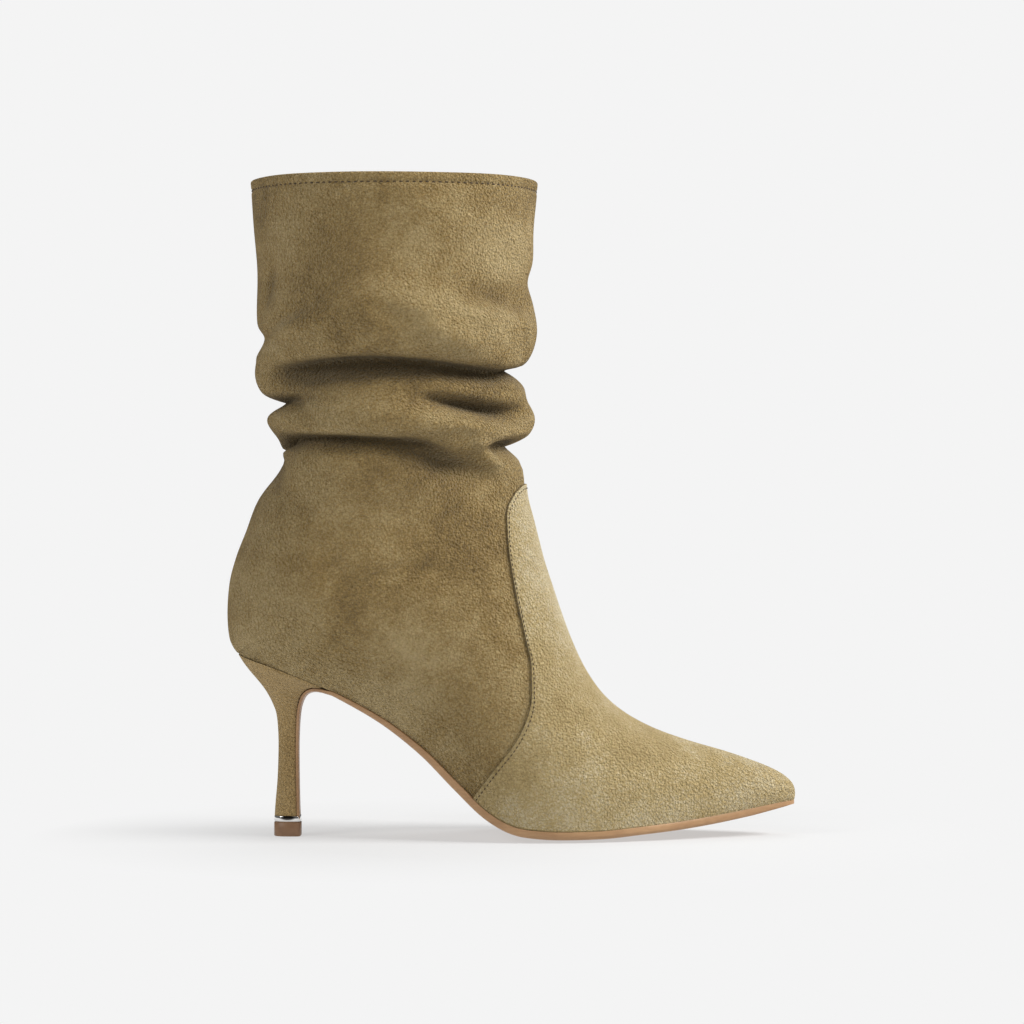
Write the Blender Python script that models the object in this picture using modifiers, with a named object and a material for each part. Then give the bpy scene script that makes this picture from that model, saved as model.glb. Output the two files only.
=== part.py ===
"""A right slouch boot: a suede pull-on with a pointed toe, a gathered shaft and a covered stiletto heel.

+X runs to the toe, +Z is up and -Y is the boot's outer side. The origin is on the floor, under the
middle of the boot's box. Lengths are metres. "Along" is measured from the back of the heel, "up" from
the floor, and a "turn" goes round the leg: 0 back, 0.25 outer side, 0.5 front, 0.75 inner side.
"""

import math

import bmesh
import bpy
import numpy as np

# Driving sizes of the last and the leg
FOOT_LENGTH = 0.250
BALL_WIDTH = 0.078
HEEL_HEIGHT = 0.080
THROAT_HEIGHT = 0.155
BOOT_HEIGHT = 0.2867
COLLAR_WIDTH = 0.100
TOE_SWING = 0.005
ARCH_INSET = 0.004
# Shares of FOOT_LENGTH: where the toe starts to swing, and where the inner arch lies
SWING_START = 0.42
ARCH_MIDDLE = 0.33
ARCH_REACH = 0.11
# The last's outlines lie between an ellipse, which is 2.0, and a box
ROUNDNESS = 2.15

# Leathers and clearances
WALL = 0.0018
VAMP_LEATHER = 0.0009
INSOLE_BOARD = 0.0022
SEAM_GAP = 0.0003
SEAT_GAP = 0.0004
SEAT_TAPER = 0.0003
VAMP_LIFT = 0.0006
VAMP_GAP = 0.0004
VAMP_FOOT_GAP = 0.004
INSOLE_INSET = 0.0022
SOLE_MARGIN = 0.0012
SOLE_TIP_HALF = 0.0004
SOLE_CROWN = 0.0014
CROWN_FROM = 0.004
CROWN_OVER = 0.020
ARCH_FADE = 0.010
BREAST_LEATHER = 0.0014

# Gathers of the shaft
FOLD_DEPTH = 0.0088
FOLD_BULGE = 0.0034
FOLD_SAG = 0.0030
CREASE_DROP = 0.0024
CREASE_ABOVE = 0.0026
CREASE_BELOW = 0.0056
TOP_BULGE_HEIGHT = 0.036

# Heel tip
TIP_LENGTH = 0.0119
TIP_WIDTH = 0.0116
TIP_BACK = 0.0205
TOP_PIECE_HEIGHT = 0.0063
RING_HEIGHT = 0.0022

# How finely the solids are faceted
SIDE_COLUMNS = 19
FOOT_LEVELS = 18
LEVEL_CROWDING_HEEL = 1.15
LEVEL_CROWDING_TOE = 1.50
CURVE_SAMPLES = 240
PATH_SAMPLES = 60
GIRTH_SAMPLES = 25
COLUMN_SPACING = (
    # from heel to toe, spacing at the feather edge
    (0.00, 0.40),
    (0.12, 0.50),
    (0.28, 1.25),
    (0.80, 1.25),
    (1.00, 0.50),
)
FIRST_LEVEL_ROW = 4.6
LEVEL_SHARES = (
    (0.00, 0.28, 0.52, 0.70, 0.83, 0.93),
    (0.00, 0.11, 0.24, 0.42, 0.62, 0.80, 0.91),
    (0.00, 0.11, 0.24, 0.42, 0.62, 0.80, 0.91),
    (0.00, 0.03, 0.07, 0.13, 0.22, 0.34, 0.48, 0.74),
)
HEEL_STEPS = 24
VAMP_EDGE_STEPS = 34
VAMP_FOOT_STEPS = 22
SHARP_ANGLE = 40

# Sections of the foot, from the toe's tip back to the heel. A section is a slanted slice: its front is on
# the ridge of the foot and its under end on the feather edge, where the upper meets the sole.
# Shares: along of FOOT_LENGTH, front_up of THROAT_HEIGHT, under_up of HEEL_HEIGHT, half widths of half
# BALL_WIDTH, and widest of the slice's own length.
FOOT_SECTIONS = (
    # front_along, front_up, under_along, under_up, half, widest, under_half
    (0.995, 0.103, 0.995, 0.199, 0.000, 0.50, 0.000),
    (0.996, 0.118, 0.993, 0.199, 0.067, 0.40, 0.049),
    (0.994, 0.136, 0.986, 0.197, 0.128, 0.40, 0.103),
    (0.985, 0.155, 0.974, 0.190, 0.187, 0.40, 0.159),
    (0.966, 0.176, 0.952, 0.178, 0.256, 0.38, 0.226),
    (0.930, 0.201, 0.916, 0.159, 0.360, 0.36, 0.323),
    (0.876, 0.231, 0.860, 0.131, 0.503, 0.32, 0.467),
    (0.812, 0.261, 0.792, 0.104, 0.690, 0.30, 0.651),
    (0.750, 0.297, 0.720, 0.083, 0.859, 0.30, 0.826),
    (0.698, 0.342, 0.652, 0.0655, 0.977, 0.30, 0.944),
    (0.658, 0.397, 0.588, 0.0625, 1.026, 0.30, 0.995),
    (0.627, 0.468, 0.524, 0.0760, 1.020, 0.31, 0.969),
    (0.604, 0.545, 0.468, 0.149, 0.980, 0.34, 0.880),
    (0.585, 0.626, 0.412, 0.305, 0.944, 0.38, 0.774),
    (0.569, 0.703, 0.352, 0.488, 0.923, 0.42, 0.687),
    (0.554, 0.777, 0.284, 0.646, 0.913, 0.45, 0.623),
    (0.543, 0.845, 0.212, 0.771, 0.913, 0.45, 0.636),
    (0.534, 0.903, 0.144, 0.866, 0.918, 0.43, 0.659),
    (0.527, 0.948, 0.084, 0.938, 0.923, 0.42, 0.621),
    (0.524, 0.977, 0.044, 0.979, 0.928, 0.42, 0.456),
    (0.523, 0.994, 0.025, 0.998, 0.931, 0.42, 0.236),
    (0.523, 1.003, 0.019, 1.004, 0.933, 0.42, 0.000),
)

# Rings of the leg, from the counter up to the collar. Shares: along of FOOT_LENGTH, front_rise of the
# height from the throat to the collar, back_rise of the height from the heel seat to the collar, half of
# half COLLAR_WIDTH, and widest of the ring's own length.
LEG_RINGS = (
    # front_along, front_rise, back_along, back_rise, half, widest
    (0.5220, 0.019, 0.0036, 0.034, 0.732, 0.42),
    (0.5215, 0.034, 0.0000, 0.087, 0.738, 0.42),
    (0.5205, 0.049, 0.0036, 0.150, 0.748, 0.43),
    (0.5200, 0.065, 0.0160, 0.208, 0.768, 0.44),
    (0.5200, 0.080, 0.0345, 0.266, 0.796, 0.45),
    (0.5200, 0.095, 0.0496, 0.324, 0.824, 0.46),
    (0.5200, 0.110, 0.0600, 0.372, 0.850, 0.47),
    (0.5210, 0.130, 0.0652, 0.416, 0.872, 0.48),
    (0.5220, 0.160, 0.0660, 0.450, 0.888, 0.49),
    (0.5240, 0.205, 0.0660, 0.494, 0.900, 0.50),
    (0.5280, 0.342, 0.0620, 0.581, 0.930, 0.50),
    (0.5320, 0.494, 0.0572, 0.677, 0.952, 0.50),
    (0.5344, 0.645, 0.0532, 0.774, 0.968, 0.50),
    (0.5384, 0.812, 0.0480, 0.880, 0.984, 0.50),
    (0.5440, 1.000, 0.0404, 1.000, 1.000, 0.50),
)

# The three creases of the gathered shaft, each all the way round from the back over the outer side.
# Shares: lip_up of BOOT_HEIGHT, depth of FOLD_DEPTH.
LOWER_CREASE = (
    # turn, lip_up, depth
    (0.000, 0.591, 0.95),
    (0.040, 0.600, 0.90),
    (0.080, 0.613, 0.90),
    (0.150, 0.617, 0.90),
    (0.218, 0.616, 0.95),
    (0.268, 0.609, 0.80),
    (0.305, 0.600, 0.55),
    (0.335, 0.591, 0.30),
    (0.370, 0.595, 0.35),
    (0.409, 0.603, 0.80),
    (0.450, 0.605, 0.95),
    (0.500, 0.602, 1.00),
    (0.600, 0.594, 0.80),
    (0.720, 0.604, 0.45),
    (0.840, 0.596, 0.60),
    (0.930, 0.591, 0.85),
)
MIDDLE_CREASE = (
    # turn, lip_up, depth
    (0.000, 0.664, 1.00),
    (0.060, 0.665, 0.95),
    (0.115, 0.668, 0.50),
    (0.170, 0.667, 0.12),
    (0.250, 0.664, 0.00),
    (0.300, 0.664, 0.20),
    (0.360, 0.659, 0.36),
    (0.410, 0.655, 0.34),
    (0.500, 0.660, 0.16),
    (0.600, 0.656, 0.20),
    (0.700, 0.651, 0.60),
    (0.800, 0.652, 0.90),
    (0.900, 0.659, 1.00),
)
UPPER_CREASE = (
    # turn, lip_up, depth
    (0.000, 0.722, 0.12),
    (0.065, 0.713, 0.35),
    (0.130, 0.724, 0.80),
    (0.218, 0.733, 1.00),
    (0.290, 0.727, 1.00),
    (0.358, 0.716, 0.90),
    (0.416, 0.713, 1.00),
    (0.500, 0.713, 1.00),
    (0.580, 0.718, 0.95),
    (0.700, 0.728, 0.75),
    (0.800, 0.724, 0.45),
    (0.900, 0.722, 0.15),
)

# The vamp's edge seen from the side, from the throat down to the feather edge. Shares: along of
# FOOT_LENGTH, up of THROAT_HEIGHT.
VAMP_EDGE = (
    # along, up
    (0.5400, 1.0040),
    (0.5170, 0.9920),
    (0.5000, 0.9580),
    (0.4900, 0.9080),
    (0.4930, 0.8230),
    (0.5060, 0.6900),
    (0.5210, 0.5800),
    (0.5330, 0.4850),
    (0.5340, 0.4050),
    (0.5240, 0.3330),
    (0.5020, 0.2660),
    (0.4680, 0.1960),
    (0.4340, 0.1200),
    (0.4200, 0.0900),
)

# Rings of the covered heel, from the seat down to the metal band. The breast is the heel's front face.
# Shares: along of FOOT_LENGTH, up of HEEL_HEIGHT, half of half BALL_WIDTH.
HEEL_RINGS = (
    # breast_along, breast_up, back_along, back_up, half
    (0.1760, 0.8135, 0.0200, 0.9970, 0.656),
    (0.1680, 0.8170, 0.0288, 0.9538, 0.605),
    (0.1580, 0.8190, 0.0400, 0.9075, 0.538),
    (0.1440, 0.8075, 0.0516, 0.8650, 0.459),
    (0.1344, 0.7800, 0.0624, 0.8225, 0.374),
    (0.1284, 0.7400, 0.0712, 0.7800, 0.303),
    (0.1244, 0.6850, 0.0800, 0.7250, 0.231),
    (0.1224, 0.6000, 0.0868, 0.6550, 0.169),
    (0.1216, 0.4750, 0.0896, 0.5063, 0.128),
    (0.1220, 0.3250, 0.0880, 0.3250, 0.123),
    (0.1228, 0.1875, 0.0844, 0.1875, 0.133),
    (0.1236, 0.1138, 0.0828, 0.1138, 0.141),
)
HEEL_WIDEST = 0.55
HEEL_BACK_BLUNT = 2.3
HEEL_BREAST_BLUNT = 6.0

# Where slices of the heel, and of the sole on its breast, stand among those rings
HEEL_STATIONS = (0, 0.5, 1, 1.5, 2, 2.6, 3.2, 3.9, 4.6, 5.4, 6.2, 7, 8, 9, 10, 11)
BREAST_STATIONS = (0.5, 1.0, 1.6, 2.2, 2.8, 3.4, 4.1, 5, 6, 7, 8, 9, 10, 11)
BREAST_START_GAP = 0.2

# The breast leather is a little narrower than the heel, most of all down the stem. Shares of its width.
BREAST_SHARE_TOP = 0.97
BREAST_SHARE_STEM = 0.88
STEM_STATION = 6

# A slice across the sole: places over its glued side and over its tread, as shares of its half width, and
# where the trimmed edge ends, as a share of its thickness
GLUED_SHARES = (-1.0, -0.6, -0.2, 0.2, 0.6, 1.0)
TREAD_SHARES = (0.97, 0.66, 0.34, 0.0, -0.34, -0.66, -0.97)
EDGE_SHOULDER = 0.6

# The insole: its place among the foot's sections, and its slices' places as shares of its half width
INSOLE_TOE_SECTION = 2.5
INSOLE_HEEL_GAP = 0.5
INSOLE_SHARES = (-1.0, -0.5, 0.0, 0.5, 1.0)

# Thickness of the sole's edge. Shares: along of FOOT_LENGTH, thick of SOLE_EDGE.
SOLE_EDGE = 0.0039
SOLE_EDGE_TAPER = (
    # along, thick
    (0.16, 0.40),
    (0.20, 0.54),
    (0.28, 0.72),
    (0.36, 0.84),
    (0.52, 1.00),
    (0.80, 1.00),
    (0.92, 0.90),
    (1.00, 0.62),
)


def held(one, other):
    """The slope where two steps meet, held back so that a curve never swings past its rows."""
    mean = (one + other) / 2
    most = 2 * np.minimum(np.abs(one), np.abs(other))
    return np.where(one * other > 0, np.sign(mean) * np.minimum(np.abs(mean), most), 0.0)


def curve(rows, at):
    """The rows of numbers at fractional indices, on smooth curves through the rows."""
    rows, at = np.asarray(rows, float), np.asarray(at, float)
    last = len(rows) - 1
    i = np.clip(at.astype(int), 0, last - 1)
    f = (at - i)[..., None]
    start, end = rows[i], rows[i + 1]
    step = end - start
    step_before = np.where((i > 0)[..., None], start - rows[np.maximum(i - 1, 0)], step)
    step_after = np.where((i + 2 <= last)[..., None], rows[np.minimum(i + 2, last)] - end, step)
    leave, arrive = held(step_before, step), held(step, step_after)
    return (
        start * (1 + 2 * f) * (1 - f) ** 2
        + leave * f * (1 - f) ** 2
        + end * f * f * (3 - 2 * f)
        - arrive * f * f * (1 - f)
    )


def smooth(x):
    """0 to 1, with a soft start and end."""
    x = np.clip(x, 0.0, 1.0)
    return x * x * (3 - 2 * x)


def round_leg(table, turn):
    """(lip up in metres, depth) of a crease at these turns."""
    rows = np.asarray(table, float)
    rows = np.concatenate([rows[-2:] - (1, 0, 0), rows, rows[:2] + (1, 0, 0)])
    at = np.interp(turn, rows[:, 0], np.arange(len(rows)))
    found = curve(rows, at)
    return found[..., 1] * BOOT_HEIGHT, np.maximum(found[..., 2], 0.0)


def swing(along):
    """How far the foot's middle line has swung to the inner side."""
    return TOE_SWING * smooth((along / FOOT_LENGTH - SWING_START) / (1 - SWING_START))


def foot_section(row):
    """(front along, front up, under along, under up, half, widest, under half) of a foot slice, in metres."""
    front_along, front_up, under_along, under_up, half, widest, under_half = row
    return (
        front_along * FOOT_LENGTH,
        front_up * THROAT_HEIGHT,
        under_along * FOOT_LENGTH,
        under_up * HEEL_HEIGHT,
        half * BALL_WIDTH / 2,
        widest,
        under_half * BALL_WIDTH / 2,
    )


def leg_section(row):
    """The same numbers for a ring of the leg, which has no under side."""
    front_along, front_rise, back_along, back_rise, half, widest = row
    return (
        front_along * FOOT_LENGTH,
        THROAT_HEIGHT + front_rise * (BOOT_HEIGHT - THROAT_HEIGHT),
        back_along * FOOT_LENGTH,
        HEEL_HEIGHT + back_rise * (BOOT_HEIGHT - HEEL_HEIGHT),
        half * COLLAR_WIDTH / 2,
        widest,
        0.0,
    )


SECTIONS = np.array([foot_section(row) for row in FOOT_SECTIONS] + [leg_section(row) for row in LEG_RINGS])
HEEL_BACK_ROW = len(FOOT_SECTIONS) - 1
COLLAR_ROW = len(SECTIONS) - 1


def arch_inset(along, inner):
    """How much narrower the feather edge is on the inner side, in the waist."""
    from_middle = (along / FOOT_LENGTH - ARCH_MIDDLE) / ARCH_REACH
    return np.where(inner, ARCH_INSET * np.exp(-(from_middle**2)), 0.0)


def arc_point(angle, end_angle, widest, blunt):
    """(share along the slice, share of the half width) of a slice's outline. Angle 0 is its front."""
    across = np.clip(np.sin(angle), 0.0, 1.0) ** (2 / blunt)
    front = widest + (1 - widest) * np.clip(np.cos(angle), 0.0, 1.0) ** (2 / blunt)
    behind = np.clip(np.cos(angle) / np.minimum(np.cos(end_angle), -1e-6), 0.0, 1.0)
    return np.where(angle <= math.pi / 2, front, widest * (1 - behind ** (2 / blunt))), across


def section_points(at, turn):
    """Points of the upper before the shaft is gathered, and the slices' middles and half sizes."""
    at, turn = np.broadcast_arrays(np.asarray(at, float), np.asarray(turn, float))
    front_x, front_z, under_x, under_z, half, widest, under_half = np.moveaxis(curve(SECTIONS, at), -1, 0)
    half = np.maximum(half, 1e-7)
    inner = turn > 0.5
    share = 2 * np.where(inner, 1 - turn, turn)
    edge = np.clip((under_half - arch_inset(under_x, inner)) / half, 0.0, 0.999)
    edge = np.where(at < HEEL_BACK_ROW, edge, 0.0)
    end_angle = math.pi - np.arcsin(edge ** (ROUNDNESS / 2))
    along, across = arc_point(end_angle * (1 - share), end_angle, widest, ROUNDNESS)
    x = under_x + (front_x - under_x) * along
    z = under_z + (front_z - under_z) * along
    y = half * across * np.where(inner, 1, -1)
    return x, y, z, (front_x + under_x) / 2, np.abs(front_x - under_x) / 2 + 1e-7, half


def gather(turn, up):
    """(outward, downward) shift of the shaft's leather at these turns and heights."""
    lips = [round_leg(table, turn) for table in (LOWER_CREASE, MIDDLE_CREASE, UPPER_CREASE)]
    tops = [lips[1][0], lips[2][0], lips[2][0] + TOP_BULGE_HEIGHT]
    next_depths = [lips[1][1], lips[2][1], lips[2][1]]
    out, down = np.zeros_like(up), np.zeros_like(up)
    for (lip, depth), top, next_depth in zip(lips, tops, next_depths):
        s = up - lip
        inside = s + CREASE_DROP
        spread = np.where(inside > 0, CREASE_ABOVE, CREASE_BELOW)
        out = out - depth * FOLD_DEPTH * np.exp(-((inside / spread) ** 2))
        down = down + depth * FOLD_SAG * np.exp(-(((s - CREASE_DROP) / (2 * CREASE_ABOVE)) ** 2))
        rise = np.clip(s / (top - lip), 0.0, 1.0)
        out = out + (depth + next_depth) / 2 * FOLD_BULGE * np.sin(math.pi * rise**0.8) ** 2
    return out, down


def upper_points(at, turn):
    """Points of the upper's outer surface, one row of (along, across, up) for each place."""
    x, y, z, middle, half_length, half = section_points(at, turn)
    out, down = gather(turn * np.ones_like(x), z)
    normal_x, normal_y = (x - middle) / half_length**2, y / half**2
    long = np.maximum(np.hypot(normal_x, normal_y), 1e-9)
    gathered = np.asarray(at) > HEEL_BACK_ROW - 4
    x = x + np.where(gathered, out * normal_x / long, 0.0)
    y = y + np.where(gathered, out * normal_y / long, 0.0)
    z = z - np.where(gathered, down, 0.0)
    return np.stack([x, y + swing(x), z], axis=-1)


def row_at_height(turn, up):
    """The fractional section row of the leg that is this high at this turn."""
    rows = np.linspace(HEEL_BACK_ROW, COLLAR_ROW, CURVE_SAMPLES)
    return np.interp(up, section_points(rows, turn)[2], rows)


# The feather edge, sampled from the toe to the back of the heel, for what fits under the foot
FEATHER_ROWS = np.linspace(0, HEEL_BACK_ROW, 10 * HEEL_BACK_ROW + 1)
FEATHER = curve(SECTIONS, FEATHER_ROWS)


def bottom_up(along):
    """Height of the feather edge over the floor."""
    return float(np.interp(along, FEATHER[::-1, 2], FEATHER[::-1, 3]))


def edge_thickness(along):
    """Thickness of the sole's edge at this place."""
    along_at, thick_at = zip(*SOLE_EDGE_TAPER)
    return SOLE_EDGE * float(np.interp(along / FOOT_LENGTH, along_at, thick_at))


def outline_row(at, margin, inner):
    """(along, up, across) on the feather edge's outline, moved out by a margin in the floor's plane."""
    def edge(where):
        row = curve(SECTIONS, where)
        half = max(row[6], 0.0)
        return np.array((row[2], half - float(arch_inset(row[2], inner)) * min(1, half / ARCH_FADE)))

    step = 0.02
    run = edge(min(at + step, HEEL_BACK_ROW)) - edge(max(at - step, 0.0))
    normal = np.array((run[1], -run[0]))
    if at <= step:
        normal = np.array((1.0, 0.0))
    if at >= HEEL_BACK_ROW - step:
        normal = np.array((-1.0, 0.0))
    x, across = edge(at) + normal / max(np.linalg.norm(normal), 1e-9) * margin
    return x, curve(SECTIONS, at)[3], max(across, SOLE_TIP_HALF)


def clear_scene():
    for old in list(bpy.data.objects):
        bpy.data.objects.remove(old, do_unlink=True)


def new_collection(name):
    collection = bpy.data.collections.new(name)
    bpy.context.scene.collection.children.link(collection)
    return collection


def finish(name, colour, roughness, metallic=0.0):
    """A material for one piece."""
    material = bpy.data.materials.new(name)
    material.use_nodes = True
    shader = material.node_tree.nodes["Principled BSDF"]
    shader.inputs["Base Color"].default_value = (*colour, 1.0)
    shader.inputs["Roughness"].default_value = roughness
    shader.inputs["Metallic"].default_value = metallic
    return material


def mesh_object(name, points, faces, material, collection, closed=True):
    """An object, smooth except at sharp edges. A closed solid's faces are turned outward."""
    mesh = bpy.data.meshes.new(name)
    mesh.from_pydata([tuple(p) for p in points], [], faces)
    if closed:
        shape = bmesh.new()
        shape.from_mesh(mesh)
        bmesh.ops.recalc_face_normals(shape, faces=shape.faces)
        shape.to_mesh(mesh)
        shape.free()
    mesh.shade_smooth()
    mesh.set_sharp_from_angle(angle=math.radians(SHARP_ANGLE))
    mesh.materials.append(material)
    obj = bpy.data.objects.new(name, mesh)
    collection.objects.link(obj)
    return obj


def feather_rows():
    """The section row where each column of the upper starts, from the back of the heel to the toe."""
    outline = np.stack([FEATHER[:, 2], FEATHER[:, 3], FEATHER[:, 6]], axis=-1)
    steps = np.linalg.norm(np.diff(outline, axis=0), axis=1)
    from_toe = np.concatenate([[0], np.cumsum(steps)])
    fine = np.linspace(0, 1, CURVE_SAMPLES)
    place, spacing = zip(*COLUMN_SPACING)
    passed = np.cumsum(np.interp(fine, place, spacing))
    passed = (passed - passed[0]) / (passed[-1] - passed[0])
    share = np.interp(np.linspace(0, 1, SIDE_COLUMNS + 1), fine, passed)
    return np.interp((1 - share) * from_toe[-1], from_toe, FEATHER_ROWS)


def half_girths(at):
    """Length of each slice from the feather edge to the ridge, as a share of the last foot slice's."""
    turns = np.linspace(0, 0.5, GIRTH_SAMPLES)
    rows = np.append(at, HEEL_BACK_ROW)
    points = np.stack(section_points(rows[:, None], turns[None, :])[:3], axis=-1)
    girth = np.linalg.norm(np.diff(points, axis=1), axis=2).sum(axis=1)
    return girth[:-1] / girth[-1]


def foot_grid():
    """(section row, turn) of each point from the feather edge up to the instep: levels by side columns."""
    t = np.linspace(0, 1, PATH_SAMPLES)
    ridge_girth = half_girths(HEEL_BACK_ROW * t)
    rows = np.empty((FOOT_LEVELS + 1, SIDE_COLUMNS + 1))
    turns = np.empty_like(rows)
    for k, start in enumerate(feather_rows()):
        u = k / SIDE_COLUMNS
        foot = start + (HEEL_BACK_ROW - start) * t
        share = u * ridge_girth / np.maximum(half_girths(foot), 1e-6)
        share[0] = 1.0 if k == SIDE_COLUMNS else 0.0
        at = np.concatenate([foot, HEEL_BACK_ROW + FIRST_LEVEL_ROW * t[1:]])
        turn = np.concatenate([np.minimum(share, 1.0), u * np.ones(len(t) - 1)]) / 2
        path = np.stack(section_points(at, turn)[:3], axis=-1)
        run = np.concatenate([[0], np.cumsum(np.linalg.norm(np.diff(path, axis=0), axis=1))])
        crowding = LEVEL_CROWDING_HEEL + (LEVEL_CROWDING_TOE - LEVEL_CROWDING_HEEL) * u
        levels = np.linspace(0, 1, FOOT_LEVELS + 1) ** crowding * run[-1]
        rows[:, k] = np.interp(levels, run, at)
        turns[:, k] = np.interp(levels, run, turn)
    return rows, turns


def leg_grid():
    """(section row, turn) above the instep. The levels follow the three creases round the leg."""
    turns = np.linspace(0, 1, 2 * SIDE_COLUMNS + 1)[:-1]
    lips = [round_leg(table, turns)[0] for table in (LOWER_CREASE, MIDDLE_CREASE, UPPER_CREASE)]
    first = (HEEL_BACK_ROW + FIRST_LEVEL_ROW) * np.ones_like(turns)
    base = section_points(first, turns)[2]
    collar = section_points(COLLAR_ROW * np.ones_like(turns), turns)[2]
    levels = [base, *lips, collar]
    heights = []
    for k, shares in enumerate(LEVEL_SHARES):
        heights += [levels[k] + share * (levels[k + 1] - levels[k]) for share in shares]
    heights.append(collar)
    rows = np.array([[row_at_height(t, up) for t, up in zip(turns, ring)] for ring in heights[1:]])
    return rows, np.broadcast_to(turns, rows.shape)


def upper_rings():
    """Rings of points on the upper's outer surface, from the feather edge to the collar."""
    rows, turns = foot_grid()
    rows = np.concatenate([rows, rows[:, -2:0:-1]], axis=1)
    turns = np.concatenate([turns, 1 - turns[:, -2:0:-1]], axis=1)
    leg_rows, leg_turns = leg_grid()
    return upper_points(np.concatenate([rows, leg_rows]), np.concatenate([turns, leg_turns]))


def ring_faces(rings):
    """Outward three-sided faces between neighbouring rings, each pair split along its shorter diagonal."""
    around = len(rings[0])
    faces = []
    for k in range(len(rings) - 1):
        for j in range(around):
            i = (j + 1) % around
            low, low_next = k * around + j, k * around + i
            high, high_next = low + around, low_next + around
            rising = np.linalg.norm(rings[k][j] - rings[k + 1][i])
            falling = np.linalg.norm(rings[k][i] - rings[k + 1][j])
            if rising < falling:
                faces += [(low, low_next, high_next), (low, high_next, high)]
            else:
                faces += [(low, low_next, high), (low_next, high_next, high)]
    return faces


def make_upper(material, collection):
    """Shaft and quarters in one hollow wall, open at the collar and underneath."""
    rings = upper_rings()
    faces = ring_faces(rings)
    obj = mesh_object("upper", rings.reshape(-1, 3), faces, material, collection, closed=False)
    wall = obj.modifiers.new("wall", "SOLIDIFY")
    wall.thickness = WALL
    wall.offset = -1.0
    return obj


def vamp_edge():
    """The vamp's back edge from the side, as (along, up) points."""
    places = np.linspace(0, len(VAMP_EDGE) - 1, VAMP_EDGE_STEPS)
    return [(a * FOOT_LENGTH, u * THROAT_HEIGHT) for a, u in (curve(VAMP_EDGE, p) for p in places)]


def make_vamp(material, collection, cutters):
    """The front of the foot, lapped over the quarters: cut from a shell over the upper's own surface."""
    rings = upper_rings()[: FOOT_LEVELS + 3]
    faces = ring_faces(rings)
    obj = mesh_object("vamp", rings.reshape(-1, 3), faces, material, collection, closed=False)
    normals = [v.normal.copy() for v in obj.data.vertices]
    for vertex, normal in zip(obj.data.vertices, normals):
        vertex.co += normal * VAMP_GAP
    shell = obj.modifiers.new("leather", "SOLIDIFY")
    shell.thickness = VAMP_LEATHER
    shell.offset = 1.0

    ahead = FOOT_LENGTH + BALL_WIDTH / 2
    edge = [(along, up) for along, up in vamp_edge() if up > bottom_up(along) + VAMP_LIFT]
    foot_from = edge[-1][0] + VAMP_FOOT_GAP
    under = np.linspace(foot_from, FOOT_LENGTH * FOOT_SECTIONS[0][0], VAMP_FOOT_STEPS)
    foot = [(along, bottom_up(along) + VAMP_LIFT) for along in under]
    outline = [*edge, *foot, (ahead, foot[-1][1]), (ahead, edge[0][1])]
    n = len(outline)
    corners = [(along, y, up) for y in (-BALL_WIDTH, BALL_WIDTH) for along, up in outline]
    sides = [(i, (i + 1) % n, n + (i + 1) % n, n + i) for i in range(n)]
    cutter = mesh_object("vamp_outline", corners, [tuple(range(n)), tuple(range(n, 2 * n)), *sides],
                         material, cutters)
    cutter.hide_render = True
    cutter.display_type = "WIRE"
    cut = obj.modifiers.new("edge", "BOOLEAN")
    cut.operation = "INTERSECT"
    cut.object = cutter
    return obj


def lofted(name, rings, material, collection):
    """A solid through rings of points. Each end is closed by strips from side to side of its ring."""
    n = len(rings[0])
    points = [p for ring in rings for p in ring]
    faces = [
        (k * n + j, k * n + (j + 1) % n, (k + 1) * n + (j + 1) % n, (k + 1) * n + j)
        for k in range(len(rings) - 1)
        for j in range(n)
    ]
    for start in (0, (len(rings) - 1) * n):
        for j in range(n // 2):
            strip = [start + j, start + j + 1, start + (n - j - 1) % n, start + (n - j) % n]
            faces.append([c for k, c in enumerate(strip) if c not in strip[:k]])
    return mesh_object(name, points, faces, material, collection)


def d_ring(back, breast, half):
    """Points round a heel slice, from its back: round behind and nearly flat in front."""
    ring = []
    for j in range(HEEL_STEPS):
        side = -1 if j <= HEEL_STEPS / 2 else 1
        share = min(j, HEEL_STEPS - j) / (HEEL_STEPS / 2)
        angle = math.pi * (1 - share)
        blunt = HEEL_BACK_BLUNT if angle > math.pi / 2 else HEEL_BREAST_BLUNT
        along, across = arc_point(angle, math.pi, HEEL_WIDEST, blunt)
        x = back[0] + (breast[0] - back[0]) * along
        z = back[1] + (breast[1] - back[1]) * along
        ring.append((x, side * half * across, z))
    return ring


def heel_ring_sizes(at):
    """(breast along, breast up, back along, back up, half) of a heel slice, in metres."""
    breast_along, breast_up, back_along, back_up, half = curve(HEEL_RINGS, at)
    return (
        breast_along * FOOT_LENGTH,
        breast_up * HEEL_HEIGHT,
        back_along * FOOT_LENGTH,
        back_up * HEEL_HEIGHT,
        half * BALL_WIDTH / 2,
    )


def make_heel(material, collection):
    """The covered stiletto, from the heel seat to the metal band."""
    rings = []
    for at in HEEL_STATIONS:
        breast_x, breast_z, back_x, back_z, half = heel_ring_sizes(at)
        rings.append(d_ring((back_x, back_z), (breast_x, breast_z), half))
    for k, ring in enumerate(rings):
        drop = SEAT_GAP + min(k, 1) * SEAT_TAPER
        rings[k] = [(x, y, min(z, bottom_up(x) - drop) if k else bottom_up(x) - drop) for x, y, z in ring]
    rings[-1] = [(x, y, TOP_PIECE_HEIGHT + RING_HEIGHT + 2 * SEAM_GAP) for x, y, z in rings[-1]]
    return lofted("heel", rings, material, collection)


def make_tip_slab(name, low, high, inset, material, collection):
    """A slab of the heel's tip, between two heights."""
    back, front = TIP_BACK + inset, TIP_BACK + TIP_LENGTH - inset
    rings = [d_ring((back, z), (front, z), TIP_WIDTH / 2 - inset) for z in (low, high)]
    return lofted(name, rings, material, collection)


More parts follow.
